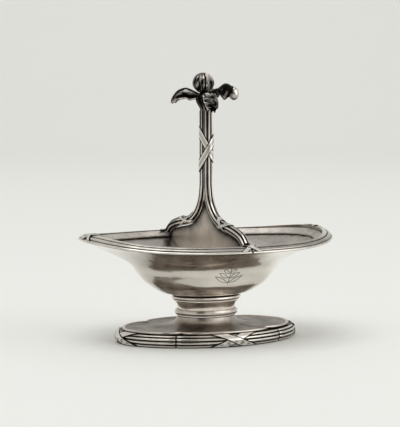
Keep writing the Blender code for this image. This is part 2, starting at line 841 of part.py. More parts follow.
def leg_strap(side, tilt, lift):
    """Strap over one branch where it runs nearly level, open below for the divider plate."""
    line = leg_line()
    target = LEG_RIBBON_SHARE * (RIM_HALF_WIDTH - BRANCH_LANDING_INSET)
    near = min(range(len(line)), key=lambda index: abs(line[index][0] - target))
    middle = Vector((0.0, side * line[near][0], line[near][1]))
    run = Vector((0.0, side * line[near - 1][0], line[near - 1][1])) - middle
    run.normalize()
    level = Vector((1.0, 0.0, 0.0))
    upright = run.cross(level) * -side
    radius = BRANCH_RADIUS + CLEARANCE + lift
    centres = []
    normals = []
    steps = 16
    for step in range(steps + 1):
        angle = blend(-LEG_RIBBON_OPENING, math.pi + LEG_RIBBON_OPENING, step / steps)
        normal = level * math.cos(angle) + upright * math.sin(angle)
        centres.append(middle + normal * radius + run * tilt * math.sin(angle))
        normals.append(normal)
    return across_band(centres, normals, LEG_RIBBON_WIDTH, closed=False)


def build_handle_ribbons(collection, helpers):
    lift = 0.5 * RIBBON_THICKNESS
    over = handle_loop(HANDLE_RIBBON_HEIGHT, HANDLE_RIBBON_TILT, lift, 7)
    under_height = HANDLE_RIBBON_HEIGHT + HANDLE_RIBBON_STAGGER
    under = handle_loop(under_height, -HANDLE_RIBBON_TILT, 0.0, 6)
    crossed_bands("handle_ribbon", over, under, collection, helpers, closed=True)
    for name, side in (("leg_ribbon_front", -1), ("leg_ribbon_back", 1)):
        over = leg_strap(side, LEG_RIBBON_TILT, lift)
        under = leg_strap(side, -LEG_RIBBON_TILT, 0.0)
        crossed_bands(name, over, under, collection, helpers)


# Flower


def build_calyx(collection):
    """Turned bud under the petals, with a short style that the standards close round."""
    bottom = CALYX_BOTTOM_HEIGHT
    top = bottom + CALYX_HEIGHT
    profile = [
        (0.0, top + STYLE_HEIGHT),
        (STYLE_RADIUS, top + STYLE_HEIGHT),
        (STYLE_RADIUS, top),
        (0.75 * CALYX_RADIUS, top - 0.0002),
        (CALYX_RADIUS, blend(bottom, top, 0.72)),
        (0.95 * CALYX_RADIUS, blend(bottom, top, 0.45)),
        (0.72 * CALYX_RADIUS, blend(bottom, top, 0.15)),
        (0.70 * CALYX_RADIUS, bottom),
        (0.0, bottom),
    ]

    def place(radius, angle, height):
        point = Vector((radius * math.cos(angle), radius * math.sin(angle), height))
        lean = clamp((height - bottom) / CALYX_HEIGHT)
        return point + BALL_OFFSET * lean**2

    mesh = turned_mesh("flower_calyx", profile, place, steps=16)
    add_object("flower_calyx", mesh, collection, tone=0.40, roughness=0.42)


def petal_mesh(name, place, along, across):
    """Grid of the given cells whose points are laid out by place(share along, share across),
    with shares from 0 to 1 along the petal and from -1 to 1 across it."""
    bm = bmesh.new()
    bmesh.ops.create_grid(bm, x_segments=along, y_segments=across, size=1.0)
    for vertex in bm.verts:
        vertex.co = place((vertex.co.x + 1) / 2, vertex.co.y)
    mesh = bpy.data.meshes.new(name)
    bm.to_mesh(mesh)
    bm.free()
    smooth_shading(mesh)
    return mesh


def build_falls(collection):
    root_height = CALYX_BOTTOM_HEIGHT + CALYX_HEIGHT + CLEARANCE + PETAL_THICKNESS / 2
    root_distance = FALL_ROOT_SHARE * CALYX_RADIUS
    steps = 4
    for fall in FALLS:
        bearing = FIRST_FALL_ANGLE + fall.place * PETAL_TURN
        outward = Vector((math.cos(bearing), math.sin(bearing), 0.0))
        sideways = Vector((-outward.y, outward.x, 0.0))
        line = smooth_line(fall.midline, steps)
        widths = smooth_line(list(enumerate(fall.widths)), steps)

        def place(along, across):
            index = round(along * (len(line) - 1))
            out, up = line[index]
            aside = across * widths[index][1] / 2
            droop = fall.crown * across**2 * math.sin(0.85 * math.pi * along)
            level = BALL_OFFSET + outward * (root_distance + out) + sideways * aside
            return level + UPWARD * (root_height + up - droop)

        mesh = petal_mesh("flower_fall_" + fall.name, place, 2 * steps, 4)
        petal = add_object("flower_fall_" + fall.name, mesh, collection, tone=0.45, roughness=0.35)
        solidify(petal, PETAL_THICKNESS, 0.0)


def build_standards(collection):
    """Three upright petals, each a curved third of the ball over the calyx."""
    shell = BALL_RADIUS - PETAL_THICKNESS / 2
    centre = Vector((0.0, 0.0, BALL_HEIGHT)) + BALL_OFFSET
    gap = CLEARANCE + PETAL_THICKNESS
    least_spread = 0.15
    for number, name in enumerate(("back", "left", "right")):
        middle = FIRST_FALL_ANGLE + PETAL_TURN * (number + 0.5)

        def place(along, across):
            climb = blend(*STANDARD_ANGLES, along)
            level = shell * math.cos(climb)
            spread = max((PETAL_TURN - gap / level) / 2, least_spread)
            angle = middle + across * spread
            out = Vector((math.cos(angle), math.sin(angle), 0.0))
            return centre + out * level + UPWARD * shell * math.sin(climb)

        mesh = petal_mesh("flower_standard_" + name, place, 7, 4)
        petal = add_object("flower_standard_" + name, mesh, collection, tone=0.45, roughness=0.35)
        solidify(petal, PETAL_THICKNESS, 0.0)


def main():
    clear_scene()
    collection = new_collection("Salt cellar")
    helpers = new_collection("Sections and straps")
    helpers.hide_render = True
    build_foot_plate(collection)
    build_foot_borders(collection, helpers)
    build_neck(collection)
    build_bowl(collection)
    build_rim(collection, helpers)
    build_branches(collection, helpers)
    build_divider(collection)
    build_border_ribbons(collection, helpers)
    build_handle_ribbons(collection, helpers)
    build_calyx(collection)
    build_falls(collection)
    build_standards(collection)


main()
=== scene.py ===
"""Looks of a silver double salt cellar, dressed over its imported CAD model.

The bowl, foot, neck and both borders are sections spun about the upright axis and laid on
ovals, the handle is two reeded branches, and the flower has three drooping petals under
three that close to a ball. Lengths are in metres in the frame of the CAD model: X along the
bowl, Y across it, Z up from the table.
"""

import logging
import math
from collections.abc import Callable, Sequence
from dataclasses import dataclass, field
from enum import Enum
from functools import partial

import bpy
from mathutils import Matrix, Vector, noise


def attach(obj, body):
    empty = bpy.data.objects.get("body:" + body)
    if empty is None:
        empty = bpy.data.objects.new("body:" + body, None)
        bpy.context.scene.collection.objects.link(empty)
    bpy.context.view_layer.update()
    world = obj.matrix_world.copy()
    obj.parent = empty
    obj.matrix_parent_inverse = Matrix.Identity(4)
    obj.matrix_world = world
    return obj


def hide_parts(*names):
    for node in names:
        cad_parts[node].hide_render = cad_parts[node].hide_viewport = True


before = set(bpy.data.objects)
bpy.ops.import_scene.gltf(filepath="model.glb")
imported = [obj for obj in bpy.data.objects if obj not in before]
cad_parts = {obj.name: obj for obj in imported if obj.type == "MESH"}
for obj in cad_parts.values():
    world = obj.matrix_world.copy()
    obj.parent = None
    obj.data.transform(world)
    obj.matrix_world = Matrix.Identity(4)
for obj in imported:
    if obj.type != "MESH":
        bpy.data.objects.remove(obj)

LOG = logging.getLogger("salt_cellar")
ACROSS = Vector((1.0, 0.0, 0.0))
UP = Vector((0.0, 0.0, 1.0))
MILLIMETRE = 0.001
GAP = 0.0003
# Tarnish of faces that lie against a neighbour, and of the insides of the foot and neck
SEAT_TARNISH = 0.6
INSIDE_TARNISH = 0.8

Piece = bpy.types.Object
Spot = tuple[float, float]
Line = list[Spot]
Outline = Callable[[float], Vector]
Place = Callable[[float, float, float], Vector]


class Slot(Enum):
    """Material slots of the record."""

    BODY = "body_silver"
    BORDER = "border_silver"
    RIBBON = "ribbon_silver"
    FLOWER = "flower_silver"


class Side(Enum):
    """Sides of the piece, with their bearings on the ovals."""

    RIGHT = 0.0
    BACK = math.pi / 2
    LEFT = math.pi
    FRONT = -math.pi / 2


# Numbers and lines


def blend(first: float, last: float, share: float) -> float:
    """Value at a share of the way from first to last."""
    return first + (last - first) * share


def clamp(value: float) -> float:
    """Value held between 0 and 1."""
    return min(max(value, 0.0), 1.0)


def ramp(value: float, start: float, stop: float) -> float:
    """0 at start, 1 at stop, even between them and held beyond. Stop may be the lower."""
    return clamp((value - start) / (stop - start))


def signed_power(value: float, exponent: float) -> float:
    """Power of a value's size, with the value's sign."""
    return math.copysign(abs(value) ** exponent, value)


def toward(angle: float, out: float = 1.0, up: float = 0.0) -> Vector:
    """Point at an angle from +X toward +Y, a distance out of the upright axis and a height."""
    return Vector((out * math.cos(angle), out * math.sin(angle), up))


def smooth_line(points: Sequence[Spot], steps: int) -> Line:
    """Catmull-Rom curve through points.

    Args:
        points: Points that the curve passes through.
        steps: Steps of the curve between each two of them.

    Returns:
        Points of the curve, the given ones among them.
    """
    ends = [points[0], *points, points[-1]]
    line = []
    for stretch in zip(ends, ends[1:], ends[2:], ends[3:]):
        for step in range(steps):
            share = step / steps
            line.append(
                tuple(
                    (
                        2 * start
                        + (end - before) * share
                        + (2 * before - 5 * start + 4 * end - after) * share**2
                        + (3 * start - before - 3 * end + after) * share**3
                    )
                    / 2
                    for before, start, end, after in zip(*stretch)
                )
            )
    line.append(tuple(points[-1]))
    return line


def offset_line(line: Line, distance: float) -> Line:
    """Line shifted sideways.

    Args:
        line: Points in order.
        distance: Shift to the right of the line's own direction.

    Returns:
        The shifted points.
    """
    shifted = []
    for index, (out, up) in enumerate(line):
        before = line[max(index - 1, 0)]
        after = line[min(index + 1, len(line) - 1)]
        run, climb = after[0] - before[0], after[1] - before[1]
        scale = distance / math.hypot(run, climb)
        shifted.append((out + climb * scale, up - run * scale))
    return shifted


def value_at(line: Line, place: float) -> float:
    """Second measure of a line at a value of its first.

    Args:
        line: Points in order of their first measure.
        place: Value of the first measure.

    Returns:
        The second, or that of the nearer end where the line doesn't reach.
    """
    for (start, low), (stop, high) in zip(line, line[1:]):
        if start <= place <= stop:
            return blend(low, high, (place - start) / (stop - start))
    return line[0][1] if place < line[0][0] else line[-1][1]


def at_distance(line: Line, distance: float) -> Spot:
    """Point at a distance along a line.

    Args:
        line: The line's points.
        distance: Distance from the first, measured along the line.

    Returns:
        The point, or the last one where the line is shorter.
    """
    for start, end in zip(line, line[1:]):
        length = math.dist(start, end)
        if distance <= length:
            return tuple(blend(a, b, distance / length) for a, b in zip(start, end))
        distance -= length
    return tuple(line[-1])


def at_share(line: Line, share: float) -> Spot:
    """Point at a share of a line's points.

    Args:
        line: The line's points.
        share: Share from 0 at the first to 1 at the last.

    Returns:
        The point, between two of the line's own where the share falls between them.
    """
    place = clamp(share) * (len(line) - 1)
    index = min(int(place), len(line) - 2)
    return tuple(blend(a, b, place - index) for a, b in zip(line[index], line[index + 1]))


def groove_shade(share: float, worn: float) -> float:
    """Darkness over a reed, full well before the grooves.

    Args:
        share: Place across the reed, from -1 in one groove over 0 on its crest to 1.
        worn: Share of the reed round its crest that wear has cleared.

    Returns:
        The darkness.
    """
    dark = blend(worn, 1.0, 0.55)
    return ramp(abs(share), worn, dark)


def strap_shade(across: float, dull: float) -> float:
    """Tarnish across a strap: none on its worn borders, black at its cut edges, partly oxide and
    partly painted shade of the gap beside it.

    Args:
        across: Share of the way from its midline to a cut edge, below zero for the other.
        dull: How dark its hollow middle is.

    Returns:
        The tarnish.
    """
    middle = ramp(abs(across), 0.45, 0.30)
    # The black cut edge is partly painted shade of the gap between the strap and the reeds
    edge = ramp(abs(across), 0.72, 0.78)
    return max(dull * middle, edge)


# Forms


@dataclass(frozen=True)
class Oval:
    """Level oval: an ellipse at squareness 2 and fuller above it."""

    half_length: float
    half_width: float
    squareness: float

    def point(self, angle: float) -> Vector:
        """Point of the oval at height 0.

        Args:
            angle: Angle round it, from +X toward +Y.

        Returns:
            The point.
        """
        across = self.half_length * signed_power(math.cos(angle), 2 / self.squareness)
        along = self.half_width * signed_power(math.sin(angle), 2 / self.squareness)
        return Vector((across, along, 0.0))


def beside(outline: Outline, angle: float, out: float, up: float) -> Vector:
    """Point beside an outline.

    Args:
        outline: Gives the outline's point for an angle.
        angle: Angle round it.
        out: Distance straight out of it.
        up: Height over it.

    Returns:
        The point.
    """
    nudge = 0.0001
    ahead = outline(angle + nudge) - outline(angle - nudge)
    outward = Vector((ahead.y, -ahead.x, 0.0)).normalized()
    return outline(angle) + outward * out + UP * up


@dataclass(frozen=True)
class Station:
    """Point of a section: how far out and up it lies, and how dark with tarnish it is."""

    out: float
    up: float
    tarnish: float = 0.0


def rounded(
    middle: Spot, reach: Spot, ends: Spot, steps: int, tarnish: float = 0.0, fullness: float = 1.0
) -> list[Station]:
    """Stations round part of an oval.

    Args:
        middle: Its (out, up) middle.
        reach: How far it reaches out and up from there.
        ends: Angles of the first and the last station over straight out, in degrees.
        steps: Steps between them.
        tarnish: Tarnish of each.
        fullness: 1 for an ellipse, less for a fuller outer side.

    Returns:
        The stations.
    """
    stations = []
    for step in range(steps + 1):
        angle = math.radians(blend(*ends, step / steps))
        out = middle[0] + reach[0] * signed_power(math.cos(angle), fullness)
        stations.append(Station(out, middle[1] + reach[1] * math.sin(angle), tarnish))
    return stations


@dataclass(frozen=True)
class Moulding:
    """Oval section that reeds follow. It touches the outline of the border."""

    half_breadth: float
    half_height: float
    height: float

    def point(self, angle: float, lift: float) -> Spot:
        """(out, up) place on the section at an angle, lifted off it."""
        out = -self.half_breadth + (self.half_breadth + lift) * math.cos(angle)
        return out, self.height + (self.half_height + lift) * math.sin(angle)

    def reeds(self, angles: Sequence[float], depth: float, worn: float) -> list[Station]:
        """Round reeds side by side, dark in the grooves.

        Args:
            angles: Angles of the grooves that part the reeds, with both ends.
            depth: Depth of the grooves.
            worn: Share of each reed that wear has cleared of tarnish.

        Returns:
            Stations over the reeds.
        """
        steps = 12
        stations = []
        for start, stop in zip(angles, angles[1:]):
            for step in range(steps):
                share = 2 * step / steps - 1
                lift = depth * (math.sqrt(1 - share**2) - 1)
                spot = self.point(blend(start, stop, step / steps), lift)
                stations.append(Station(*spot, groove_shade(share, worn)))
        stations.append(Station(*self.point(angles[-1], -depth), 1.0))
        return stations


@dataclass(frozen=True)
class BoatForm:
    """The bowl's family of ovals, from the collar under it to its rim."""

    collar_half_length: float = 0.0164
    collar_half_width: float = 0.0127
    half_length: float = 0.0592
    half_width: float = 0.0470
    squareness: float = 2.1
    rim_height: float = 0.0443
    end_rise: float = 0.0028
    tip_rise: float = 0.0006
    side_fullness: float = 0.00125
    fullest_half_length: float = 0.0267
    fullness_spread: float = 0.0030
    edge_inset: float = 0.0022
    edge_drop: float = 0.0016
    flat_share: float = 0.91
    floor: float = 0.0201
    wall: float = 0.0012
    profile: tuple = (
        (0.0, 0.0),
        (0.155, 0.075),
        (0.32, 0.265),
        (0.41, 0.442),
        (0.50, 0.646),
        (0.67, 0.810),
        (0.88, 0.951),
        (1.0, 1.0),
    )

    def width_at(self, half_length: float) -> float:
        """Half width of one of the ovals, a little more where the bowl's side is fullest.

        Args:
            half_length: Half length of that oval.

        Returns:
            Its half width.
        """
        run = self.half_length - self.collar_half_length
        gain = self.half_width - self.collar_half_width
        bend = (run - gain) / run**2
        reach = half_length - self.collar_half_length
        away = (half_length - self.fullest_half_length) / self.fullness_spread
        plain = self.collar_half_width + (1 - 2 * bend * run) * reach + bend * reach**2
        return plain + self.side_fullness * math.exp(-(away**2))

    def squareness_at(self, half_length: float) -> float:
        """Squareness of the oval that has a half length."""
        return blend(2.0, self.squareness, clamp(half_length / self.half_length) ** 2)

    def rise(self, across: float) -> float:
        """How far the ends of the boat shape sweep up at a distance from its middle."""
        share = across / self.half_length
        return self.end_rise * share**4 + self.tip_rise * share**8

    def point(self, half_length: float, angle: float, height: float) -> Vector:
        """Point of the bowl on one of its ovals, swept up toward the ends.

        Args:
            half_length: Half length of the oval.
            angle: Angle round it.
            height: Height of the oval's middle over the table.

        Returns:
            The point.
        """
        oval = Oval(half_length, self.width_at(half_length), self.squareness_at(half_length))
        place = oval.point(angle)
        place.z = height + self.rise(place.x)
        return place

    def neck_point(self, half_length: float, angle: float, height: float) -> Vector:
        """Point of the neck, whose ovals are ellipses and stay level.

        Args:
            half_length: Half length of the oval.
            angle: Angle round it.
            height: Height over the table.

        Returns:
            The point.
        """
        place = Oval(half_length, self.width_at(half_length), 2.0).point(angle)
        place.z = height
        return place

    def rim_outline(self, angle: float) -> Vector:
        """Outline that the rim's border follows.

        Args:
            angle: Angle round it.

        Returns:
            The outline's point.
        """
        place = Oval(self.half_length, self.half_width, self.squareness).point(angle)
        place.z = self.rim_height + self.rise(place.x)
        return place

    def rim_point(self, out: float, angle: float, up: float) -> Vector:
        """Point beside the rim's outline, at a distance out of it and a height over it."""
        return beside(self.rim_outline, angle, out, up)

    def outer_line(self, steps: int) -> Line:
        """Line up the outer side, from the flat bottom to the edge.

        Args:
            steps: Steps between each two marks of the profile.

        Returns:
            (half length, height) points.
        """
        flat = self.flat_share * self.collar_half_length
        edge = self.half_length - self.edge_inset
        top = self.rim_height - self.edge_drop
        marks = [(blend(flat, edge, out), blend(self.floor, top, up)) for out, up in self.profile]
        return smooth_line(marks, steps)

    def inner_line(self, steps: int) -> Line:
        """Line up the inner side, from the floor of the wells to the edge."""
        return offset_line(self.outer_line(steps), -self.wall)

    def side_point(self, across: float, height: float) -> Vector:
        """Point of the near outer side.

        Args:
            across: Distance from the middle plane along X.
            height: Height over the table.

        Returns:
            The point.
        """
        half_length = value_at([(up, out) for out, up in self.outer_line(4)], height)
        share = signed_power(across / half_length, self.squareness_at(half_length) / 2)
        return self.point(half_length, -math.acos(share), height)


@dataclass(frozen=True)
class FootForm:
    """The foot: an oval border round a plate whose lip has four lobes between cusps."""

    half_length: float = 0.0430
    half_width: float = 0.0302
    squareness: float = 1.9
    lip_inset: float = 0.0030
    skirt_half_length: float = 0.0135
    cusp_angle: float = math.radians(52)
    cusp_depth: float = 0.0040
    crease_depth: float = 0.0010
    crease_run: float = 1 / 6
    cusp_spread: float = math.radians(5)

    def outline(self, angle: float) -> Vector:
        """Outline of the border."""
        return Oval(self.half_length, self.half_width, self.squareness).point(angle)

    def from_cusp(self, angle: float) -> float:
        """Angle between a place and the nearest cusp."""
        return abs(math.acos(min(abs(math.cos(angle)), 1.0)) - self.cusp_angle)

    def plate_point(self, boat: BoatForm, half_length: float, angle: float, height: float) -> Vector:
        """Point of the plate: a plain oval at the skirt, four lobes at the lip.

        Args:
            boat: The bowl's ovals, which the skirt takes up.
            half_length: Half length of the oval.
            angle: Angle round it.
            height: Height over the table.

        Returns:
            The point.
        """
        lip_length = self.half_length - self.lip_inset
        lip_width = self.half_width - self.lip_inset
        share = (half_length - self.skirt_half_length) / (lip_length - self.skirt_half_length)
        width = blend(boat.width_at(self.skirt_half_length), lip_width, share)
        place = Oval(half_length, width, blend(2.0, self.squareness, share)).point(angle)
        crease = math.exp(-self.from_cusp(angle) / self.cusp_spread) * clamp(share)
        place *= 1 - self.cusp_depth * crease * clamp(share) / place.length
        place.z = height - self.crease_depth * crease * clamp((1 - share) / self.crease_run)
        return place


# Finishes


def linear(code: str) -> tuple[float, float, float, float]:
    """Linear colour of an sRGB code.

    Args:
        code: Hex code such as #c0c0b8.

    Returns:
        Red, green, blue and an alpha of 1.
    """
    channels = [int(code[index : index + 2], 16) / 255 for index in (1, 3, 5)]
    levels = [c / 12.92 if c <= 0.04045 else ((c + 0.055) / 1.055) ** 2.4 for c in channels]
    return (*levels, 1.0)


def add_node(
    tree: bpy.types.NodeTree, kind: str, output: str | int, settings: dict, links: dict
) -> bpy.types.NodeSocket:
    """Adds a shader node.

    Args:
        tree: Node tree that takes it.
        kind: Type of the node, without the ShaderNode in front.
        output: Name or number of the output that is used.
        settings: Values by attribute name, or by input name or number.
        links: Output sockets by the name or number of the input that each feeds.

    Returns:
        The output's socket.
    """
    node = tree.nodes.new("ShaderNode" + kind)
    for key, value in settings.items():
        if isinstance(key, str) and hasattr(node, key):
            setattr(node, key, value)
        else:
            node.inputs[key].default_value = value
    for key, socket in links.items():
        tree.links.new(socket, node.inputs[key])
    return node.outputs[output]


def new_material(name: str, settings: dict) -> tuple[bpy.types.Material, bpy.types.Node]:
    """Starts a material.

    Args:
        name: Its name.
        settings: Values of its shader by input name.

    Returns:
        The material and its shader.
    """
    material = bpy.data.materials.new(name)
    material.use_nodes = True
    shader = material.node_tree.nodes["Principled BSDF"]
    for key, value in settings.items():
        shader.inputs[key].default_value = value
    return material, shader


@dataclass(frozen=True)
class Silver:
    """Sterling silver that has been worn bright where hands and cloths reach it and has
    kept its dark sulphide elsewhere: warm grey, satin with fine scratches, brown-black in
    grooves and hollows, never mirror-like, with painted shade deepening the crevices. The
    scratches of polishing are drawn 0.35 mm apart so that they show."""

    name: str
    bright: str
    dark: str
    roughness: float
    cloud: float = 0.25
    grain: float = 0.05
    dents: float = 0.02
    crevice_shade_reach: float = 0.0012
    dull_gain: float = 0.22
    cloud_size: float = 9 * MILLIMETRE
    dent_size: float = 7 * MILLIMETRE
    scratch_spacing: float = 0.35 * MILLIMETRE
    scratch_stretch: float = 4.0
    scratch_depth: float = 0.1 * MILLIMETRE

    def build(self) -> bpy.types.Material:
        """Makes the material: tarnish attribute, painted crevice shade and clouds mixed to one
        darkness.

        Returns:
            The material.
        """
        material, shader = new_material(self.name, {"Metallic": 1.0})
        tree = material.node_tree
        where = add_node(tree, "TexCoord", "Object", {}, {})
        # Tarnish, and also the painted shade and painted highlights that some pieces store in the
        # same attribute
        tarnish = add_node(tree, "Attribute", "Fac", {"attribute_name": "tarnish"}, {})
        # Clouds of tarnish, broken up finer
        look = {"Scale": 1 / self.cloud_size, "Detail": 5.0, "Roughness": 0.65}
        clouds = add_node(tree, "TexNoise", "Fac", look, {"Vector": where})
        span = {"From Min": 0.42, "From Max": 0.72, "To Min": 0.0, "To Max": self.cloud}
        cloud = add_node(tree, "MapRange", "Result", span, {"Value": clouds})
        # Painted shade, with the oxide kept in crevices: darker by how much of the sky a point sees
        # within a short reach
        look = {"samples": 8, "Distance": self.crevice_shade_reach}
        shade = add_node(tree, "AmbientOcclusion", "AO", look, {})
        span = {"From Min": 0.85, "From Max": 0.25, "To Min": 0.0, "To Max": 1.0}
        hidden = add_node(tree, "MapRange", "Result", span, {"Value": shade})
        lined = add_node(tree, "Math", 0, {"operation": "MAXIMUM"}, {0: tarnish, 1: hidden})
        look = {"operation": "ADD", "use_clamp": True}
        darkness = add_node(tree, "Math", 0, look, {0: lined, 1: cloud})
        look = {"data_type": "RGBA", 6: linear(self.bright), 7: linear(self.dark)}
        colour = add_node(tree, "Mix", 2, look, {0: darkness})
        span = {"To Min": self.roughness, "To Max": self.roughness + self.dull_gain}
        gloss = add_node(tree, "MapRange", "Result", span, {"Value": darkness})
        # Scratches stretched along X, over the soft dents of use
        look = {"Scale": (1 / self.scratch_stretch, 1.0, 1.0)}
        stretched = add_node(tree, "Mapping", 0, look, {"Vector": where})
        look = {"Scale": 1 / self.scratch_spacing, "Detail": 3.0, "Roughness": 0.6}
        scratches = add_node(tree, "TexNoise", "Fac", look, {"Vector": stretched})
        look = {"Scale": 1 / self.dent_size, "Detail": 1.0}
        dents = add_node(tree, "TexNoise", "Fac", look, {"Vector": where})
        look = {"Strength": 1.0, "Distance": self.dents * self.dent_size}
        soft = add_node(tree, "Bump", 0, look, {"Height": dents})
        look = {"Strength": self.grain, "Distance": self.scratch_depth}
        fine = add_node(tree, "Bump", 0, look, {"Height": scratches, "Normal": soft})
        for socket, name in ((colour, "Base Color"), (gloss, "Roughness"), (fine, "Normal")):
            tree.links.new(socket, shader.inputs[name])
        return material


class Finish(Enum):
    """Silver of the parts, each with what its making and wear give the eye."""

    # Hammered up from sheet and polished: broad soft reflections that waver a little
    BOWL = Silver(
        "sterling silver, raised, satin",
        "#f8f2ea",
        "#3a2d24",
        0.15,
        cloud=0.12,
        dents=0.04,
        crevice_shade_reach=0.0008,
    )
    # Etched by salt: grainy and cloudy, with hardly a reflection
    WELL = Silver(
        "sterling silver, spun, worn by salt",
        "#dcd6ce",
        "#443730",
        0.34,
        cloud=0.40,
        grain=0.5,
        crevice_shade_reach=0.0006,
    )
    # Seldom rubbed: grey, with brown clouds
    PLATE = Silver("sterling silver, sheet, dull", "#d8cfc6", "#3b2d25", 0.22, cloud=0.30)
    # Turned and polished: clear upright reflections, a little clouded
    NECK = Silver(
        "sterling silver, turned, half bright",
        "#ebe2d8",
        "#3b2d25",
        0.15,
        cloud=0.20,
        crevice_shade_reach=0.0006,
    )
    # Bright crests with black sulphide kept between them
    REEDS = Silver(
        "sterling silver, drawn reeds, oxidised", "#e8e2d9", "#1c1512", 0.15, crevice_shade_reach=0.0006
    )
    # Worn by every hand: the palest silver, matte from fine scratches, with dark cut edges that are
    # partly oxide and partly painted shade
    RIBBON = Silver(
        "sterling silver, rolled strip, bright",
        "#f4f0e9",
        "#241c18",
        0.24,
        cloud=0.1,
        crevice_shade_reach=0.0004,
    )
    # Blackened in every chased line, bright on edges and ridges alone
    FLOWER = Silver(
        "sterling silver, cast and chased, oxidised",
        "#e4ded5",
        "#0b0908",
        0.22,
        cloud=0.15,
        crevice_shade_reach=0.002,
    )
    # Dull sheet between the legs, with painted shade toward its edges where the branches and the bowl
    # meet it
    DIVIDER = Silver(
        "sterling silver, sheet, dull between the legs", "#d8cfc2", "#241e1a", 0.32, crevice_shade_reach=0.004
    )
    # Cut lines filled with sulphide: nearly black
    ENGRAVING = Silver("sterling silver, engraved, blackened", "#5a5248", "#1c1610", 0.5)


class Dresser:
    """Makes each finish once and puts pieces in their finish and place."""

    def __init__(self) -> None:
        """Starts with no material made."""
        self.made: dict[Finish, bpy.types.Material] = {}

    def dress(self, piece: Piece, finish: Finish, slot: Slot, node: str = "") -> None:
        """Gives a piece its finish and has it stand for a CAD node.

        Args:
            piece: The finished piece, at the origin.
            finish: Its silver.
            slot: Not used.
            node: CAD node that it replaces and is named for. Without one it keeps its name.
        """
        if finish not in self.made:
            self.made[finish] = finish.value.build()
        piece.data.materials.clear()
        piece.data.materials.append(self.made[finish])
        if node:
            piece.name = piece.data.name = node + "_silver"
        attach(piece, "root")
        if node:
            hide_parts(node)
        LOG.info("%s: %d faces", piece.name, len(piece.data.polygons))


# Modelling


@dataclass(frozen=True)
class Turn:
    """Stretch of a turn in radians and its number of steps."""

    start: float = 0.0
    stop: float = 2 * math.pi
    steps: int = 240

    def full(self) -> bool:
        """Whether the turn closes on itself."""
        return abs(self.stop - self.start - 2 * math.pi) < 1e-6


def select(*pieces: Piece) -> None:
    """Selects pieces and nothing else in object mode, so that an operator acts on them alone.

    Args:
        pieces: The pieces, of which the first becomes active. None leaves nothing selected.
    """
    if bpy.context.mode != "OBJECT":
        bpy.ops.object.mode_set(mode="OBJECT")
    bpy.ops.object.select_all(action="DESELECT")
    for piece in pieces:
        piece.select_set(True)
    if pieces:
        bpy.context.view_layer.objects.active = pieces[0]


def set_tarnish_and_shade(piece: Piece, values: Sequence[float]) -> None:
    """Stores how dark each point of a mesh is.

    Args:
        piece: The mesh.
        values: Darkness of each of its points in order, from 0 to 1.
    """
    layer = piece.data.attributes.get("tarnish")
    if layer is None:
        layer = piece.data.attributes.new("tarnish", "FLOAT", "POINT")
    layer.data.foreach_set("value", list(values))


def add_tarnish_and_shade(piece: Piece, extra: Callable[[Vector], float]) -> None:
    """Darkens a mesh by more than it is already.

    Args:
        piece: The mesh, with its tarnish stored.
        extra: Gives what is added at a point of it.
    """
    stored = [datum.value for datum in piece.data.attributes["tarnish"].data]
    points = [vertex.co for vertex in piece.data.vertices]
    set_tarnish_and_shade(piece, [clamp(value + extra(point)) for value, point in zip(stored, points)])


def smooth(piece: Piece) -> None:
    """Shades a piece smooth but for edges sharper than 40 degrees, and deselects it."""
    select(piece)
    bpy.ops.object.shade_smooth_by_angle(angle=math.radians(40))
    select()


def merge(piece: Piece) -> None:
    """Merges the points of a mesh that lie on each other.

    Args:
        piece: The mesh.
    """
    select(piece)
    bpy.ops.object.mode_set(mode="EDIT")
    bpy.ops.mesh.select_all(action="SELECT")
    bpy.ops.mesh.remove_doubles(threshold=1e-6)
    bpy.ops.object.mode_set(mode="OBJECT")


def open_loop(piece: Piece) -> None:
    """Takes the edge between the first and the last point out of a loop.

    Args:
        piece: The loop, in object mode.
    """
    last = len(piece.data.vertices) - 1
    bpy.ops.object.mode_set(mode="EDIT")
    bpy.ops.mesh.select_mode(type="EDGE")
    bpy.ops.mesh.select_all(action="DESELECT")
    bpy.ops.object.mode_set(mode="OBJECT")
    for edge in piece.data.edges:
        edge.select = set(edge.vertices) == {0, last}
    bpy.ops.object.mode_set(mode="EDIT")
    bpy.ops.mesh.delete(type="EDGE_FACE")
    bpy.ops.mesh.select_mode(type="VERT")
    bpy.ops.object.mode_set(mode="OBJECT")


